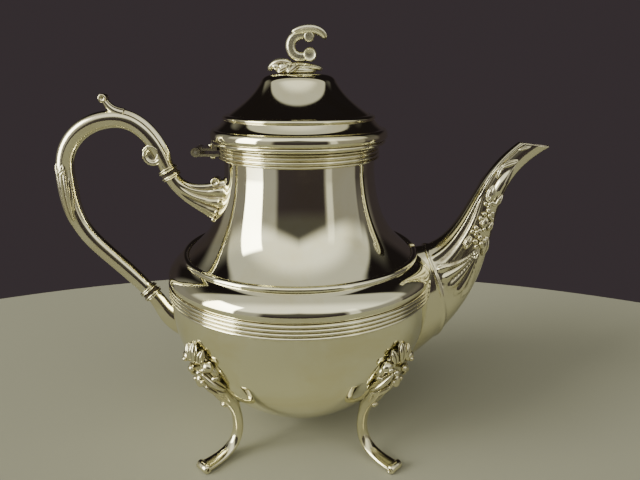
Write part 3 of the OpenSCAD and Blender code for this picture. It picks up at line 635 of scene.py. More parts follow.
# %% Shoulder bead
BEAD_R = 1.7
BEAD_END = 3
BEAD_STEPS = 20
bead_at = at(body_r(z_shoulder + BEAD_R), z_shoulder + BEAD_R)
bead_turns = [math.radians(-100 + 250 * i / BEAD_STEPS) for i in range(BEAD_STEPS + 1)]
bead = [bead_at + BEAD_R * at(math.cos(a), math.sin(a)) for a in bead_turns]
bead = spun(bead, start=BEAD_END, sweep=360 - 2 * BEAD_END)
bead = finish_piece("shoulder_bead", bead, [plate], "pot", ["shoulder_moulding"])

# %% Mouth collar
collar_low = low("mouth_moulding", 2)
collar_proud = high("mouth_moulding", 0) - NECK_R
collar_h = z_mouth - collar_low
collar_in = NECK_R + 0.03
COLLAR_REED = 0.8
collar_reeds = [collar_h * share for share in (0.19, 0.31, 0.29, 0.21)]
collar = spun(reed_stack(NECK_R + collar_proud - COLLAR_REED, collar_low, collar_reeds,
                         COLLAR_REED)
              + [at(collar_in, z_mouth), at(collar_in, collar_low)])
collar = finish_piece("mouth_collar", collar, [plate], "pot", ["mouth_moulding"])

# %% [markdown]
# ## The lid
#
# One sheet again: a reed under a round rim, a hollow cove, and a dome with a soft crown.  A bead
# is soldered over the step between cove and dome.  Inside, a bezel drops into the mouth and keeps
# the lid in place.  The inner face passes the reed by, so the sheet is a little thicker there.

# %% Lid curves
z_lid = low("lid_dome", 2)
z_crown = high("lid_dome", 2)
lid_r = high("lid_dome", 0)
STEP_REED = 0.7
step_r = high("lid_step_moulding", 0) - STEP_REED
z_step = high("lid_step_moulding", 2) - 0.4
z_edge = z_lid + 4.7
rim_low = at(NECK_R + 2.7, z_lid)
edge = at(lid_r, z_edge - 0.6)
cove_low = at(lid_r - 1.9, z_edge + 2.6)
groove = at(lid_r - 1.5, z_lid + 2.3)
step_low = at(step_r - 1.2, z_step - 0.2)
dome_low = at(step_r - 1.6, z_step)
crown_edge = at(18, z_crown - 3.2)
crown_flat = at(11.2, z_crown)
reed_line = (curve(rim_low, rim_low + at(2.4, -0.2), groove + at(1.3, -1.0), groove, 12)
             + curve(groove, groove + at(1.0, 0.1), edge - at(0, 0.9), edge, 6))
plain_line = curve(rim_low, rim_low + at(1.6, 0.6), edge - at(0, 1.8), edge, 12)
lid_line = (curve(edge, edge + at(0, 1.9), cove_low + at(1.0, 0.1), cove_low, 12)
            + curve(cove_low, cove_low + at(-2.3, 0.3), step_low + at(1.9, -2.3), step_low, 24)
            + curve(dome_low, dome_low + at(-6.4, 4.4), crown_edge + at(3.8, -7.4), crown_edge,
                    36)
            + curve(crown_edge, crown_edge + at(-1.2, 2), crown_flat + at(3.4, -0.2),
                    crown_flat, 12)
            + [crown_flat, at(0, z_crown)])
print("lid", round(2 * lid_r, 1), "mm across and", round(z_crown - z_lid, 1), "mm high")

# %% Lid sheet
LEDGE_H = 1
ledge_r = rim_low.x - 1.4
inner = [p for p in beside(plain_line + lid_line, WALL) if p.z > z_lid + LEDGE_H + 0.2]
inner[-1].x = 0
lid = spun([at(ledge_r, z_lid)] + reed_line + lid_line + inner[::-1]
           + [at(ledge_r, z_lid + LEDGE_H)])
stain_inside(lid, lean=14)
lid = finish_piece("lid", lid, [plate, lining], "lid", ["lid_dome"])

# %% Step bead
z_bead = low("lid_step_moulding", 2)
step = spun(reed_stack(step_r, z_bead, [z_step - z_bead], STEP_REED)
            + [at(step_r - 1.2, z_step + 0.4), at(step_r - 2.0, z_step + 0.4),
               at(step_r - 1.0, z_bead)])
step = finish_piece("lid_step_bead", step, [plate], "lid", ["lid_step_moulding"])

# %% Bezel
bezel_r = NECK_R - WALL - 0.9
bezel_low = low("lid_bezel", 2)
flange_r = ledge_r - 0.05
bezel = spun([at(bezel_r - WALL, bezel_low + 0.4), at(bezel_r - 0.8, bezel_low),
              at(bezel_r - 0.4, bezel_low), at(bezel_r, bezel_low + 0.5), at(bezel_r, z_lid),
              at(flange_r, z_lid), at(flange_r, z_lid + LEDGE_H),
              at(bezel_r - WALL, z_lid + LEDGE_H)], steps=128)
bezel = finish_piece("lid_bezel_ring", bezel, [lining], "lid", ["lid_bezel"],
                     sharp=math.radians(30))

# %% [markdown]
# ## The spout
#
# The spout is cast in one piece and chased.  A smooth band runs along its back between two
# ridges; below them a shell of flutes fans out over the belly, flowers tie it up, and leaves run
# on to the lip.  Sculpting it would crowd the faces in some places and starve others, so a
# rolled-up grid follows the spout's middle line, and its relief is worked out from the place
# along and the turn around.  The grid's first ring is laid on the body, its last is cut off flat
# at the lip, and Solidify gives the wall.

# %% Spout line and sizes
spout_root_z = z_girdle - 16
tip = at(125, z_mouth - 2.2)
spout_start = at(40.4, spout_root_z - 2.9)
spout_end = tip + at(-2.8, 4.8)


def spout_line(t):
    """Middle line of the spout, from inside the bowl to past the lip."""
    return bezier(spout_start, spout_start + at(67.6, 17.7), spout_end + at(-45.5, -22),
                  spout_end, t)


def spout_size(t):
    """Half sizes of the spout in the middle plane and across it."""
    return bezier(38.7, 4.2, 7.7, 4.9, t), bezier(23, 6, 7, 2.6, t)


print("spout's half sizes at its lip", [round(half, 1) for half in spout_size(1)], "mm")

# %% Spout relief
SHELL_KNOT, SHELL_END = 0.43, 0.235


def spout_relief(turn, t):
    """Height and depth of the chasing at a turn from the spout's back and a share of its line."""
    turn = off_top(turn)
    along = smooth(0.24, 0.3, t) * smooth(0.96, 0.86, t)
    up = along * (0.8 * bump(46, 9, turn) - 0.25 * bump(0, 38, turn))
    hollow = along * max(0.7 * bump(59, 8, turn), 0.3 * bump(35, 8, turn))
    # A thinner reed below the ridge runs into it
    reed = 67 - 18 * smooth(0.5, 0.76, t)
    run = smooth(0.26, 0.3, t) * smooth(0.76, 0.7, t)
    up += run * 0.6 * bump(reed, 10, turn)
    hollow = max(hollow, run * 0.6 * bump(reed + 13, 8, turn))
    # Shell: flutes that fan out from a knot towards the body and end in round lobes
    fan = (SHELL_KNOT - t) / (SHELL_KNOT - SHELL_END)
    spread = 9 + 33 * smooth(0, 1, fan)
    across = (turn - 112 + 12 * fan) / spread
    rib = wave(across * 2.5 + 0.5)
    rim = 1.0 - 0.12 * (1 - rib) - 0.12 * across * across
    inside = (smooth(1.12, 0.98, abs(across)) * smooth(0, 0.12, fan)
              * smooth(rim + 0.06, rim - 0.06, fan))
    up += inside * (1.5 * rib - 0.3) * (0.45 + 0.55 * min(fan, 1))
    hollow = max(hollow, inside * (1 - rib) ** 2)
    edge = smooth(1.3, 1.1, abs(across)) * bump(rim + 0.07, 0.07, fan)
    hollow = max(hollow, 0.35 * edge)
    # A rim goes round the root
    root = 0.262 - 0.0011 * (turn - 62)
    up += 0.9 * bump(root - 0.026, 0.011, t)
    # The long petal under the lip
    petal = smooth(0.65, 0.71, t) * smooth(0.85, 0.74, t)
    wide = 8 + 20 * petal
    up += petal * 1.7 * bump(103, wide, turn)
    hollow = max(hollow, petal * max(bump(103 - wide, 8, turn), bump(103 + wide, 8, turn)))
    return up, min(max(hollow, 0), 1)

# %% Spout surface
MOUTH_SLOPE = 9
ROOT_SINK = 0.6
ROOT_HALVINGS = 22
SPOUT_AROUND, SPOUT_ALONG = 208, 228


def spout_frame(turn, t):
    """Middle, back direction and half sizes of the spout at t, and the turn in radians."""
    ahead = heading(spout_line, t)
    return spout_line(t), at(-ahead.z, ahead.x), *spout_size(t), math.radians(turn)


def spout_point(turn, t):
    """A corner of the chased surface and how deep it lies."""
    middle, back, a, b, angle = spout_frame(turn, t)
    up, hollow = spout_relief(turn, t)
    co = middle + back * (a + up) * math.cos(angle)
    co.y = (b + up) * math.sin(angle)
    return co, hollow


def spout_out(turn, t):
    """Direction out of the spout's surface."""
    _, back, a, b, angle = spout_frame(turn, t)
    out = back * math.cos(angle) / a
    out.y = math.sin(angle) / b
    return out.normalized()


def on_spout(turn, t, lift=0):
    """A place that is lifted off the spout's unchased surface."""
    middle, back, a, b, angle = spout_frame(turn, t)
    co = middle + back * a * math.cos(angle)
    co.y = b * math.sin(angle)
    return co + spout_out(turn, t) * lift

# %% Where the spout leaves the body
root_share = {}


def root_of(turn):
    """Share of the line at which the spout's surface leaves the body."""
    key = round(turn, 3)
    if key not in root_share:
        near, far = 0.02, 0.6
        for _ in range(ROOT_HALVINGS):
            t = (near + far) / 2
            p = spout_point(turn, t)[0]
            if math.hypot(p.x, p.y) > body_r(p.z) - ROOT_SINK:
                far = t
            else:
                near = t
        root_share[key] = far
    return root_share[key]


def place_spout(u, v):
    """Where a corner of the rolled-up grid goes, and how deep it lies."""
    turn = 360 * u
    start = root_of(turn)
    return spout_point(turn, start + (1 - start) * v)

# %% The spout's mesh
spout = bmesh.new()
bmesh.ops.create_grid(spout, x_segments=SPOUT_AROUND, y_segments=SPOUT_ALONG, size=0.5)
depth = spout.verts.layers.float.new("hollow")
for v in spout.verts:
    v.co, v[depth] = place_spout(v.co.x + 0.5, v.co.y + 0.5)
seam = [v for v in spout.verts if v.is_boundary]
bmesh.ops.remove_doubles(spout, verts=seam, dist=SAME_PLACE)
bmesh.ops.recalc_face_normals(spout, faces=spout.faces)
slope = math.radians(MOUTH_SLOPE)
bmesh.ops.bisect_plane(spout, geom=spout.verts[:] + spout.edges[:] + spout.faces[:],
                       plane_co=tip, plane_no=(math.sin(slope), 0, math.cos(slope)),
                       clear_outer=True)
spout = finish_piece("spout_casting", spout, [casting, lining], "pot", ["spout"])
shell = spout.modifiers.new("wall", "SOLIDIFY")
shell.thickness = WALL * MM
shell.offset = -1
shell.use_quality_normals = True
shell.material_offset = 1
print("spout leaves the body between", round(min(root_share.values()), 3), "and",
      round(max(root_share.values()), 3))

# %% [markdown]
# Flowers and leaves are small solids of their own, set into the casting's surface.  Each is
# given by a turn and a share of the spout's line, once for the two sides.

# %% The spout's flowers and leaves
# Turn, share, reach and petals
FLOWERS = [(108, 0.455, 4.2, 5), (86, 0.497, 3.0, 4), (104, 0.586, 3.4, 5), (90, 0.636, 2.7, 4)]
# Turn, share and size
BEADS = [(126, 0.48, 2.6), (106, 0.518, 2.2), (82, 0.56, 2.2), (124, 0.57, 2.4), (113, 0.642, 2.2)]
# From turn and share to turn and share, then half width and height
SPOUT_LEAVES = [
    (78, 0.47, 80, 0.40, 2.0, 1.1), (128, 0.49, 132, 0.405, 2.4, 1.2),
    (100, 0.52, 98, 0.575, 2.2, 1.3), (122, 0.515, 126, 0.565, 1.8, 1.1),
    (116, 0.635, 127, 0.70, 1.9, 1.1), (84, 0.64, 74, 0.72, 1.9, 1.1),
    (70, 0.75, 55, 0.81, 1.3, 1.0), (55, 0.795, 94, 0.865, 1.5, 1.1),
    (56, 0.89, 80, 0.935, 0.9, 0.5)]


# %% Setting them on the spout
def along_spout(turn, t):
    """Direction on the spout's surface towards the lip."""
    return on_spout(turn, t + 0.01) - on_spout(turn, t)


def spout_vein(q, turn, t):
    """A leaf's line on the spout, arched over its length."""
    return on_spout(turn, t, 0.3 + 0.5 * math.sin(math.pi * q))


flowers = bmesh.new()
for side in (1, -1):
    for turn, t, reach, petals in FLOWERS:
        turn *= side
        flower(flowers, on_spout(turn, t, 0.6), along_spout(turn, t).normalized(),
               spout_out(turn, t), reach, petals)
    for turn, t, size in BEADS:
        turn *= side
        seed(flowers, on_spout(turn, t, 0.35), along_spout(turn, t), spout_out(turn, t),
             (size * 1.2, size, size))
    for turn_a, t_a, turn_b, t_b, width, height in SPOUT_LEAVES:
        laid_leaf(flowers, (side * turn_a, t_a), (side * turn_b, t_b), spout_vein, spout_out,
                  width, height)
flowers = finish_piece("spout_flowers", flowers, [casting], "pot")

# %% [markdown]
# ## Handle and sockets
#
# The handle is a casting that is held between two sockets.  An insulating disc in each double
# ring keeps it cool.  A crest runs over its front, a leaf wraps its back, and its lower limb
# is chased with a ridge on each side.  At the top a spur makes the thumb rest, and at the front
# the casting rolls up into a volute with a deep eye.

# %% Handle line
DIP_UP, DIP_LOW = 62, 50
FERRULE_R = 5.2
FERRULE_H = 2.2
GAP_T = 1.3
COLLAR_R = FERRULE_R - 1.3
upper_ferrule = at(-65.4, z_mouth - 15)
lower_ferrule = at(-80.6, z_girdle - 12.6)
ferrule_half = (GAP_T + FERRULE_H) / 2


def dip(angle):
    """Direction from the handle into a socket."""
    return at(math.cos(math.radians(angle)), -math.sin(math.radians(angle)))


# How far a quarter circle's handles reach, as a share of its radius
QUARTER = 0.5523
handle_start = upper_ferrule - dip(DIP_UP) * ferrule_half
handle_end = lower_ferrule - dip(DIP_LOW) * ferrule_half
handle_top = at(-90.1, z_mouth + 11.6)
handle_back = at(-117.5, z_mouth - 13.4)
handle_parts = [
    (handle_start, handle_start + at(-3.5, 12), handle_top + at(13.5, 0), handle_top),
    (handle_top, handle_top + at(QUARTER * (handle_back.x - handle_top.x), 0),
     handle_back + at(0, QUARTER * (handle_top.z - handle_back.z)), handle_back),
    (handle_back, handle_back - at(0, 37), handle_end - dip(DIP_LOW) * 39, handle_end)]
part_shares = [0, 10 / 34, 20 / 34, 1]


def handle_line(t):
    """Over the top, round the back and down to the lower ferrule."""
    for i, part in enumerate(handle_parts):
        if t <= part_shares[i + 1] or i == 2:
            s = (t - part_shares[i]) / (part_shares[i + 1] - part_shares[i])
            return bezier(*part, s)

# %% Handle bar
HANDLE_OUT, HANDLE_ACROSS = 4.4, 4.05


def handle_size(t):
    """Half sizes of the handle, which slims towards its ferrules."""
    end = COLLAR_R - 0.3
    full = max(math.sin(math.pi * t), 0) ** 0.35
    return end + (HANDLE_OUT - end) * full, end + (HANDLE_ACROSS - end) * full


def handle_relief(turn, t):
    """A crest at the front, and a ridge over a groove along the lower limb."""
    side = off_top(turn)
    crest = smooth(0.03, 0.07, t) * smooth(0.30, 0.26, t)
    up = crest * (0.9 * bump(0, 26, side) - 0.3 * bump(36, 9, side))
    hollow = crest * bump(36, 8, side)
    lower = smooth(0.68, 0.74, t) * smooth(0.99, 0.95, t)
    up += lower * (0.35 * bump(62, 11, side) - 0.5 * bump(47, 8, side) + 0.25 * bump(0, 34, side))
    hollow = max(hollow, lower * bump(47, 8, side))
    return up, min(hollow, 1)


handle = limb(handle_line, handle_size, 72, 360, handle_relief)
print("handle reaches", round(-handle_back.x + HANDLE_OUT, 1), "mm behind the axis")

# %% [markdown]
# Leaves wrap the handle's back, where the upper limb runs out over the lower one.  They are
# small solids, and each one's line is given in the handle's own numbers, a turn round it and a
# share of its length, so that the leaf follows every bend of the bar.

# %% Leaf at the handle's back
# From turn and share to turn and share, then half width and height
HANDLE_LEAVES = [
    (316, 0.735, 324, 0.560, 2.4, 1.0), (306, 0.60, 246, 0.583, 1.9, 1.5),
    (284, 0.72, 262, 0.562, 2.5, 1.3), (258, 0.69, 232, 0.60, 2.0, 1.2),
    (352, 0.70, 352, 0.585, 2.0, 0.5)]


def handle_out(turn, t):
    """Direction out of the handle's surface."""
    ahead = heading(handle_line, t)
    up = at(ahead.z, -ahead.x)
    angle = math.radians(turn)
    return up * math.cos(angle) + ahead.cross(up) * math.sin(angle)


def handle_vein(q, turn, t):
    """A leaf's line on the handle, laid deeper on its back than at its sides."""
    lift = 4.0 - 0.42 * math.cos(math.radians(turn)) ** 2 + 0.35 * q
    return handle_line(t) + handle_out(turn, t) * lift


for side in (1, -1):
    for turn_a, t_a, turn_b, t_b, width, height in HANDLE_LEAVES:
        laid_leaf(handle, (side * turn_a, t_a), (side * turn_b, t_b), handle_vein, handle_out,
                  width, height, blunt=0.55)
print("leaves on the handle", 2 * len(HANDLE_LEAVES))

# %% [markdown]
# A volute is a bar rolled up on itself.  One long, tightly wound bar would be hard to keep from
# cutting into itself, so a turned disc with a sunk eye makes the round face, and a short bar
# that winds round it makes the rolled lip.

# %% Volute
VOLUTE_R = 5.2
volute_at = handle_start + at(-VOLUTE_R - 1, VOLUTE_R + 2.4)


def disc(centre, outline):
    """A turned disc across the middle plane. outline lists radius and half width from its hub."""
    bm = turned(outline + [(r, -w) for r, w in reversed(outline)])
    across = Matrix.Rotation(math.pi / 2, 3, "X")
    bmesh.ops.rotate(bm, verts=bm.verts, cent=(0, 0, 0), matrix=across)
    bmesh.ops.translate(bm, verts=bm.verts, vec=centre)
    return bm


volute = disc(volute_at, [(0, 2.3), (1.9, 2.4), (2.6, 2.6), (3.0, 3.3), (3.5, 3.7), (4.3, 3.8),
                          (4.9, 3.3), (VOLUTE_R, 2.3), (VOLUTE_R, 0.8)])
depth = volute.verts.layers.float.new("hollow")
for v in volute.verts:
    v[depth] = 0.55 * smooth(3.1, 2.5, (Vector((v.co.x, 0, v.co.z)) - volute_at).length)
join(handle, volute)


def lip_line(t):
    """The rolled lip that runs round the volute's eye."""
    turns = math.radians(170 - 230 * t)
    return volute_at + at(-0.4, 0.7) + (4.1 - 1.0 * t) * at(math.cos(turns), math.sin(turns))


join(handle, limb(lip_line, lambda t: (1.5 - 0.4 * t, 4.2 - 0.3 * t), 24, 40, caps=(0.06, 0.08)))
print("volute at", [round(c, 1) for c in volute_at], "mm")

# %% Thumb rest
spur_foot = handle_top + at(5.5, 2.5)
spur_tip = handle_top + at(-4.4, 9.9)


def spur_line(t):
    """Middle line of the thumb rest."""
    return bezier(spur_foot, spur_foot + at(-5, 1.2), spur_tip + at(2.5, -5), spur_tip, t)


def spur_relief(turn, t):
    """A groove on each side of the thumb rest's back."""
    side = off_top(turn)
    return -0.35 * bump(34, 12, side), bump(34, 12, side)


join(handle, limb(spur_line, lambda t: (2.6 - 1.1 * t, 2.9 - 0.7 * t), 40, 40, spur_relief,
                  caps=(0.05, 0.05)))
join(handle, disc(spur_tip, [(0, 1.5), (0.6, 1.6), (0.9, 2.3), (1.6, 2.5), (2.1, 2.0),
                             (2.2, 0.8)]))
print("thumb rest's roll at", round(spur_tip.z, 1), "mm height")

# %% [markdown]
# Each insulating disc is gripped by two double-beaded rings, one on the handle and one on its
# socket.  Rings are turned work, so a profile is turned about the Z axis and then tipped to the
# slope of its joint.

# %% Ferrule rings
RING_STEPS = 16


def ferrule_ring(centre, angle, side):
    """A double-beaded ring on one side of an insulating disc."""
    foot = GAP_T / 2
    groove_r = COLLAR_R + 0.1
    points = [(0, foot)]
    for i in range(RING_STEPS + 1):
        s = i / RING_STEPS
        bead = max(1.0 * bump(0.34, 0.4, s), 0.7 * bump(0.8, 0.26, s)) ** 0.6
        points.append((groove_r + (FERRULE_R - groove_r) * bead, foot + FERRULE_H * s))
    bm = turned(points + [(0, foot + FERRULE_H)])
    turn = Vector((0, 0, 1)).rotation_difference(dip(angle) * side).to_matrix()
    bmesh.ops.rotate(bm, verts=bm.verts, cent=(0, 0, 0), matrix=turn)
    bmesh.ops.translate(bm, verts=bm.verts, vec=centre)
    return bm


join(handle, ferrule_ring(upper_ferrule, DIP_UP, -1))
join(handle, ferrule_ring(lower_ferrule, DIP_LOW, -1))
handle = finish_piece("handle_casting", handle, [casting], "pot", ["handle"])

# %% [markdown]
# A socket flares from its ring to the body, where it was fitted to the curve and soldered.  It is
# a bar that runs on into the body.  Every corner that would come out inside is then pushed back
# along its radius to just under the surface, which fits it without a boolean.

# %% Sockets
def socket(centre, angle, root, root_size, root_handle, flare, relief):
    """A flared casting from a ferrule ring to the body, pressed onto the body's surface."""
    start = centre + dip(angle) * ferrule_half

    def line(t):
        return bezier(start, start + dip(angle) * 9, root + root_handle, root + at(3, 0), t)

    def size(t):
        return tuple(COLLAR_R + (full - COLLAR_R) * t ** flare for full in root_size)

    bm = limb(line, size, 108, 80, relief)
    for v in bm.verts:
        r = math.hypot(v.co.x, v.co.y)
        seat = body_r(v.co.z) - ROOT_SINK
        if r < seat:
            v.co.x *= seat / r
            v.co.y *= seat / r
    bmesh.ops.remove_doubles(bm, verts=bm.verts, dist=10 * SAME_PLACE)
    join(bm, ferrule_ring(centre, angle, 1))
    return bm


def fluted(turn, t):
    """Flutes that fan out and end in round lobes."""
    rib = wave(turn / 36)
    grow = smooth(0.12, 0.75, t)
    return grow * (1.5 * rib - 0.7) * (1 + 0.4 * bump(0.84, 0.1, t)), grow * (1 - rib) ** 2


def plain_spur(turn, t):
    """A soft ridge along the underside."""
    return 0.4 * bump(180, 34, turn) * smooth(0, 0.2, t), 0

# %% The two sockets
upper_root = at(-body_r(z_mouth - 29.5), z_mouth - 29.5)
lower_root = at(-body_r(z_girdle - 33), z_girdle - 33)
upper = socket(upper_ferrule, DIP_UP, upper_root, (12.4, 7.5), at(-12, 1.5), 3, fluted)
knob_at = upper_root + at(-2.2, 10.4)
join(upper, disc(knob_at, [(0, 3.0), (0.8, 3.1), (1.3, 3.7), (1.9, 3.7), (2.25, 3.0),
                           (2.25, 1)]))
# Height over the root, reach to the side and size
SOCKET_BEADS = [(6.5, 4.6, 3.2), (1.5, 6.6, 3.4), (-4, 6.4, 3.0), (-8.5, 4.2, 2.6)]
for side in (1, -1):
    for dz, dy, size in SOCKET_BEADS:
        z = upper_root.z + dz
        turn = side * dy / body_r(z)
        away = Vector((-math.cos(turn), -math.sin(turn), 0))
        seed(upper, away * (body_r(z) + 0.6) + at(0, z), at(-0.6, -0.8), away, (size, 2.6, 2.4))
upper = finish_piece("upper_socket_leaf", upper, [casting], "pot", ["upper_socket"])
lower = socket(lower_ferrule, DIP_LOW, lower_root, (7.7, 4.5), at(-12, 5), 2, plain_spur)
lower = finish_piece("lower_socket_spur", lower, [casting], "pot", ["lower_socket"])

# %% [markdown]
# ## Legs
#
# Four cast legs grow out of leaf mounts on the bowl, pull in to a slim shin and end in a small
# scrolled toe.  One leg is drawn in the middle plane and turned to its four places.  Its mount
# is built up like the real one: a swelling base, a lobed leaf at the top, two rolled heads,
# ribbed straps to both sides, and a leaf that curls out over the shin.

# %% Leg line
LEG_ANGLE = 46
TOE_REACH = 69.5
SHIN_REACH = 45.6
SHIN_SHARE = 12 / 21
knee_z = z_bottom + 54
toe = at(TOE_REACH - 2.3, 2.3)
knee = at(body_r(knee_z) - 0.2, knee_z - 1)
calf = at(body_r(knee_z - 20) + 2, knee_z - 20)
shin = at(SHIN_REACH, z_bottom * 1.4)


def leg_line(t):
    """Down the bowl to the shin, and round to the toe."""
    if t < SHIN_SHARE:
        return bezier(knee, calf, shin + at(0.4, 17), shin, t / SHIN_SHARE)
    return bezier(shin, shin - at(0.2, 13), at(SHIN_REACH + 10, 1.5), toe,
                  (t - SHIN_SHARE) / (1 - SHIN_SHARE))


print("leg from", round(knee.z, 1), "mm height to its toe", round(toe.x, 1), "mm out")


# %% Leg section
def leg_size(t):
    """Half sizes of the leg: broad and thin on the bowl, round at the shin, flat at the toe."""
    if t < 0.5:
        a = 2.5 + 2.8 * math.sin(math.pi * min(t * 1.9 + 0.04, 1)) ** 1.5
        b = 3 + 8.2 * math.cos(math.pi * t) ** 2 * math.sin(math.pi / 2 * min(t * 6 + 0.3, 1))
        return a, b
    return 2.5 - 0.4 * (2 * t - 1), 3 + 1.4 * (2 * t - 1) ** 2


def leg_relief(turn, t):
    """Ribs on the mount, and a groove along the top of the foot."""
    side = off_top(turn)
    mount = smooth(0.42, 0.3, t)
    rib = wave(side / 40 + 0.5 + t)
    up = mount * (0.7 * rib - 0.5)
    hollow = 0.7 * mount * (1 - rib) ** 3
    foot = smooth(0.66, 0.78, t)
    groove = foot * bump(0, 46, side)
    return up - 1.0 * groove, min(hollow + groove, 1)

# %% [markdown]
# The mount's leaves lie on the bowl.  Their places are given the way a maker would measure them:
# so far to the side of the leg, at a height, and lifted so far off the surface.

# %% Leaf mount
def on_bowl(s, z, lift=0):
    """A place s to the side of the leg's plane at height z, lifted off the bowl."""
    r = body_r(z)
    turn = s / r
    slope = (body_r(z + 1) - body_r(z - 1)) / 2
    out = Vector((math.cos(turn), math.sin(turn), -slope)).normalized()
    return Vector((r * math.cos(turn), r * math.sin(turn), z)) + out * lift


def bowl_out(s, z, lift=0):
    """Direction out of the bowl, which is the same at every lift."""
    return on_bowl(s, z, 1) - on_bowl(s, z, 0)


def mount_vein(q, s, z, lift):
    """A leaf's line over the bowl, arched over its length."""
    return on_bowl(s, z, lift + 0.6 * math.sin(math.pi * q))

# %% The mount's leaves and beads
# From s, z and lift to s, z and lift, then half width, height and ribs
MOUNT_LEAVES = [
    (0, 61, 3.2, 0, 70.4, 0.9, 2.8, 1.7, 2), (3.4, 61.5, 2.8, 5.6, 68, 0.8, 2.4, 1.5, 2),
    (4.2, 58, 3.6, 11.0, 47.5, 1.2, 2.6, 2.3, 2), (6.6, 53.5, 2.4, 10.4, 55, 0.8, 2.0, 1.4, 1),
    (2.5, 50, 4.6, 6.6, 42.5, 2.0, 2.1, 1.6, 1), (5.0, 47, 3.0, 8.6, 43.5, 1.0, 1.6, 1.1, 1)]
# s, z, lift and size
MOUNT_BEADS = [(7.4, 60.8, 2.0, 6.4), (7.0, 60.6, 4.4, 2.8), (2.8, 57.6, 4.6, 3.6),
               (2.4, 52.4, 5.2, 2.8)]


def add_mount(bm):
    """Adds the leaves, heads and beads of a mount to a leg."""
    for side in (1, -1):
        for s_a, z_a, lift_a, s_b, z_b, lift_b, width, height, ribs in MOUNT_LEAVES:
            if s_a == 0 and side < 0:
                continue
            laid_leaf(bm, (side * s_a, z_a, lift_a), (side * s_b, z_b, lift_b), mount_vein,
                      bowl_out, width, height, ribs)
        for s, z, lift, size in MOUNT_BEADS:
            seed(bm, on_bowl(side * s, z, lift), Vector((0, 1, 0)), bowl_out(side * s, z),
                 (size, size * 0.85, size * 0.8))
    seed(bm, on_bowl(0, 52, 5.2), at(0, 1), bowl_out(0, 52), (6.5, 5.0, 3.0))
    curl = at(SHIN_REACH + 8.2, 31.5)
    top = on_bowl(0, 50, 3.6)

    def fall(q):
        return bezier(top, top + at(-2, -9), curl + at(-2.6, 6.5), curl, q)

    def face(q):
        return at(1, -0.25 - 0.5 * q)

    leaf(bm, fall, face, 4.6, 1.3, ribs=3, blunt=0.5)
    join(bm, disc(curl + at(-0.1, -0.3), [(0, 1.7), (0.6, 1.8), (1.1, 1.5), (1.25, 0.8)]))


# %% Four legs
def one_leg():
    """A leg in the middle plane, with its mount and its toe."""
    bm = limb(leg_line, leg_size, 72, 150, leg_relief, caps=(0.09, 0))
    add_mount(bm)
    join(bm, disc(toe, [(0, 3.1), (0.6, 3.2), (0.9, 4.0), (1.6, 4.1), (2.25, 3.4), (2.25, 1)]))
    return bm


LEG_TURNS = {"leg_front_left": 180 + LEG_ANGLE, "leg_front_right": -LEG_ANGLE,
             "leg_rear_left": 180 - LEG_ANGLE, "leg_rear_right": LEG_ANGLE}
for name, angle in LEG_TURNS.items():
    bm = one_leg()
    turn = Matrix.Rotation(math.radians(angle), 3, "Z")
    bmesh.ops.rotate(bm, verts=bm.verts, cent=(0, 0, 0), matrix=turn)
    leg = finish_piece(name.replace("leg", "cast_leg"), bm, [casting], "pot", [name])

# %% [markdown]
# ## Finial
#
# The finial is a scroll that rolls open towards the spout and carries a long leaf, on a banded
# bud that lies on a mound of leaves.  The scroll is a bar bent round most of a circle, with a
# turned disc at each end.

# %% Finial scroll
scroll_at = at(1.3, z_crown + 12.5)
SCROLL_MID, SCROLL_HALF, SCROLL_ACROSS = 4.9, 2.4, 2.5


def scroll_line(t):
    """Most of a circle, open towards the spout."""
    turns = math.radians(64 + 262 * t)
    return scroll_at + SCROLL_MID * at(math.cos(turns), math.sin(turns))


def channel(turn, t):
    """A raised rim along both edges of the scroll's two faces, with a channel between."""
    face = max(bump(90, 34, turn), bump(270, 34, turn))
    return -0.25 * face, 0.2 * face


def scroll_size(t):
    """Half sizes of the scroll, which is slimmer at its ends."""
    return SCROLL_HALF - 0.35 * abs(2 * t - 1) ** 3, SCROLL_ACROSS


finial = limb(scroll_line, scroll_size, 48, 90, channel, caps=(0.05, 0.03))
join(finial, disc(at(5.5, z_crown + 8.7), [(0, 2.3), (2.0, 2.4), (2.5, 2.7), (3.0, 2.2),
                                           (3.3, 1.0)]))
join(finial, disc(at(5.1, z_crown + 16.7), [(0, 2.4), (1.4, 2.5), (1.9, 2.6), (2.4, 1.9),
                                            (2.6, 1.0)]))

print("scroll's middle at", round(scroll_at.z, 1), "mm height")

# %% Finial leaves
UP = at(0, 1)
SIDE_LEAF_REACH = 9.8


def plane_leaf(points, width, height, ribs, blunt):
    """A leaf in the middle plane along four points."""
    ends = [at(x, z_crown + z) for x, z in points]
    leaf(finial, lambda q: bezier(*ends, q), lambda q: UP, width, height, ribs, blunt)


plane_leaf([(-3.0, 17.4), (1.0, 20.6), (11.2, 21.6), (13.0, 15.3)], 3.5, 2.2, 2, blunt=0.4)
plane_leaf([(-2.0, 3.2), (-6.5, 6.9), (-12.3, 5.6), (-14.2, 1.2)], 5.2, 1.8, 3, blunt=0.5)
plane_leaf([(2.0, 1.8), (6.0, 3.4), (9.4, 3.2), (11.4, 1.9)], 4.6, 1.4, 2, blunt=0.5)
# The mound that the leaves lie on
seed(finial, at(-1.2, z_crown + 1.5), at(1, 0), UP, (20, 14, 4.6))
for turn in (112, 142, -112, -142):
    away = Vector((math.cos(math.radians(turn)), math.sin(math.radians(turn)), 0))

    def side_vein(q, away=away):
        return (away * (2 + SIDE_LEAF_REACH * q)
                + at(0, z_crown + 3.0 + 1.6 * math.sin(math.pi * q) - 2.4 * q))

    leaf(finial, side_vein, lambda q: UP, 3.1, 1.4, ribs=2, blunt=0.5)
    seed(finial, away * (SIDE_LEAF_REACH + 0.6) + at(0, z_crown + 1.9), away, UP,
         (3.0, 2.6, 2.0))


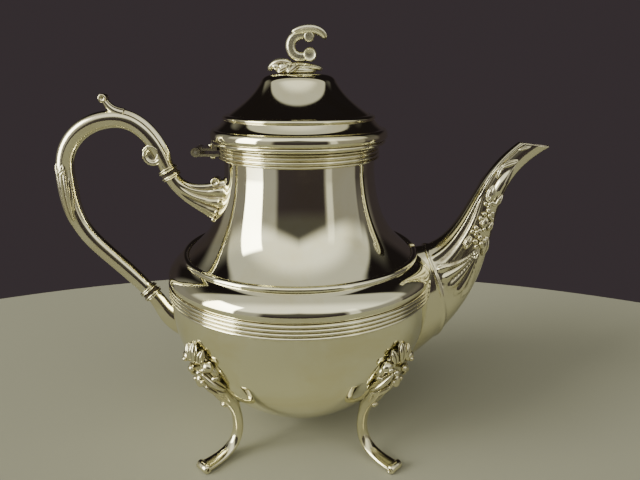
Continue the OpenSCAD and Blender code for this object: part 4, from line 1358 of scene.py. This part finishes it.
# %% Finial bud and beads
def bud_line(t):
    """Middle line of the bud, from under the long leaf to the spout's side."""
    return at(-4.6 + 12.2 * t, z_crown + 3.2 - 0.5 * t)


def bud_size(t):
    """Half sizes of the bud, which is twice as broad as it is high."""
    swell = math.sin(math.pi * (0.12 + 0.76 * t)) ** 0.5
    return 2.3 * swell, 4.6 * swell


def bands(turn, t):
    """Two grooves round the bud."""
    side = off_top(turn)
    groove = max(bump(70, 9, side), bump(112, 9, side))
    return -0.5 * groove, groove


join(finial, limb(bud_line, bud_size, 48, 30, bands, caps=(0.12, 0.12)))
# Back, aside, height over the crown and size
FINIAL_BEADS = [(-10.3, -4.4, 3.2, 3.2), (-6.8, -5.8, 3.0, 3.4), (-8.0, -2.6, 5.6, 3.0),
                (-12.4, -1.6, 3.2, 2.6)]
for x, y, z, size in FINIAL_BEADS:
    for side in (1, -1):
        seed(finial, Vector((x, side * y, z_crown + z)), at(-1, 0.4), Vector((-0.3, side * y, 3)),
             (size * 1.3, size, size * 0.8))
finial = finish_piece("finial_scroll", finial, [satin], "lid", ["finial"])

# %% [markdown]
# ## Hinge
#
# Small cast beads cover the hinge leaves on both sides of the pin.  Those above the pin ride on
# the lid and those below it on the pot, so that they part when the lid opens.

# %% Castings on the hinge
hinge_z = z_mouth - 3.8
# Back, aside, height over the pin and size
HINGE_BEADS = {
    "hinge_lid_casting": ("lid", [(-40.8, 0.7, 5.2, 2.8), (-41.6, 3.6, 4.6, 2.2),
                                  (-43.4, 2.2, 3.0, 2.0)]),
    "hinge_body_casting": ("pot", [(-42.4, 4.2, -2.4, 2.0), (-43.0, 0.6, -3.0, 2.4)])}
for name, (body, beads) in HINGE_BEADS.items():
    bm = bmesh.new()
    bm.verts.layers.float.new("hollow")
    for x, y, z, size in beads:
        for side in (1, -1):
            seed(bm, Vector((x, side * y, hinge_z + z)), at(1, 0), at(0, 1 if z > 0 else -1),
                 (size * 1.2, size, size * 0.8))
    bm = finish_piece(name, bm, [casting], body)

# %% [markdown]
# Pins, stud, washer, nut, insulators and hinge leaves are plain turned or filed parts, and the
# CAD model already has their shape.  They keep it and only take a finish.

# %% CAD nodes that keep their own shape
CAD_FINISHES = {
    nickel: ["upper_socket_pin", "upper_handle_pin", "lower_socket_pin", "lower_handle_pin",
             "hinge_pin", "finial_stud", "finial_washer", "finial_nut"],
    fibre: ["upper_insulator", "lower_insulator"],
    casting: ["hinge_body_leaf", "hinge_lid_leaf"]}
for finish, names in CAD_FINISHES.items():
    for name in names:
        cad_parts[name].material_slots[0].material = finish
    print(finish.name, "on", len(names), "CAD pieces")

# %% [markdown]
# ## A small studio
#
# Polished silver shows what stands around it.  A pale table lights the bowl from below.  The
# room is drawn straight into the world shader, as soft-edged panels that are given by azimuth
# and elevation: a tall bright window at the left, dimmer walls at both sides, a pale ceiling
# that comes down at the front and the sides, and darkness behind.

# %% Table
TABLE_R = 0.62
TABLE_BACK = 0.225
table = bmesh.new()
bmesh.ops.create_circle(table, cap_ends=True, segments=160, radius=TABLE_R)
bmesh.ops.translate(table, verts=table.verts, vec=(0, TABLE_BACK - TABLE_R, 0))
table_mesh = bpy.data.meshes.new("table")
table.to_mesh(table_mesh)
table.free()
table = shown("table", table_mesh)
cloth, _, shader = new_material("pale_cloth")
shader.inputs["Base Color"].default_value = (0.37, 0.37, 0.29, 1)
shader.inputs["Roughness"].default_value = 0.9
table_mesh.materials.append(cloth)
print("table", 2 * TABLE_R, "m across")

# %% Room tools
world = bpy.data.worlds.new("room")
world.use_nodes = True
bpy.context.scene.world = world
room = world.node_tree


def sum_up(operation, *values):
    """A chain of math nodes over sockets and numbers."""
    total = values[0]
    for value in values[1:]:
        total = node(room, "ShaderNodeMath", {0: total, 1: value}, operation=operation).outputs[0]
    return total


def fade(value, start, full):
    """0 at start and 1 at full, with an S-curve between them."""
    return node(room, "ShaderNodeMapRange", {"Value": value, "From Min": start, "From Max": full},
                interpolation_type="SMOOTHSTEP").outputs["Result"]

# %% Directions in the room
direction = node(room, "ShaderNodeSeparateXYZ",
                 {0: node(room, "ShaderNodeTexCoord").outputs["Generated"]}).outputs
to_front = sum_up("MULTIPLY", direction["Y"], -1.0)
azimuth = node(room, "ShaderNodeMath", {0: direction["X"], 1: to_front}, operation="ARCTAN2")
azimuth = sum_up("MULTIPLY", azimuth.outputs[0], math.degrees(1))
elevation = node(room, "ShaderNodeMath", {0: direction["Z"]}, operation="ARCSINE")
elevation = sum_up("MULTIPLY", elevation.outputs[0], math.degrees(1))
side = node(room, "ShaderNodeMath", {0: direction["X"]}, operation="ABSOLUTE").outputs[0]


def panel(from_az, to_az, from_el, to_el, soft_az, soft_el, strength):
    """A soft-edged rectangle. Azimuth 0 is at the camera's side and 90 at the spout's."""
    return sum_up("MULTIPLY", fade(azimuth, from_az - soft_az, from_az + soft_az),
                  fade(azimuth, to_az + soft_az, to_az - soft_az),
                  fade(elevation, from_el - soft_el, from_el + soft_el),
                  fade(elevation, to_el + soft_el, to_el - soft_el), strength)

# %% Panels and ceiling
# From and to azimuth, from and to elevation, softness of both and strength
WINDOW = (-82, -53, -7, 40, 1.2, 3, 10.0)
WALLS = [(-128, -82, -20, 34, 5, 8, 0.19), (-53, -31, -12, 30, 4, 6, 0.34),
         (38, 92, -14, 24, 2, 6, 0.24), (41, 50, -8, 34, 1.5, 6, 0.6),
         (92, 122, -4, 34, 5, 8, 0.09), (-44, 44, 13, 46, 6, 6, 0.07)]
WARM_LIGHT = (1.0, 0.98, 0.84, 1)
DARK_ROOM = (0.042, 0.033, 0.036, 1)
window = panel(*WINDOW)
walls = sum_up("ADD", *[panel(*wall) for wall in WALLS])
# The ceiling ends behind the pot, comes down at the sides and is brightest at the front
slant = sum_up("ADD", direction["Z"], sum_up("MULTIPLY", side, 0.36))
above = sum_up("MULTIPLY", fade(slant, 0.5, 0.74), fade(direction["Y"], 0.21, 0.13))
brightness = sum_up("ADD", sum_up("MULTIPLY", fade(to_front, 0.1, 0.5), 0.75), 0.58)
ceiling = sum_up("MULTIPLY", above, brightness)
light = sum_up("ADD", window, walls, ceiling)
colour = node(room, "ShaderNodeMix", {"Factor": 1.0, "A": WARM_LIGHT, "B": light},
              data_type="RGBA", blend_type="MULTIPLY")
# The dark room is darkest above the pot's own height
glow = sum_up("ADD", sum_up("MULTIPLY", fade(elevation, 20, 8), 0.72), 0.28)
shade = node(room, "ShaderNodeMix", {"Factor": 1.0, "A": DARK_ROOM, "B": glow},
             data_type="RGBA", blend_type="MULTIPLY")
colour = node(room, "ShaderNodeMix",
              {"Factor": 1.0, "A": colour.outputs["Result"], "B": shade.outputs["Result"]},
              data_type="RGBA", blend_type="ADD")
room.links.new(colour.outputs["Result"], room.nodes["Background"].inputs["Color"])
print("room nodes", len(room.nodes))
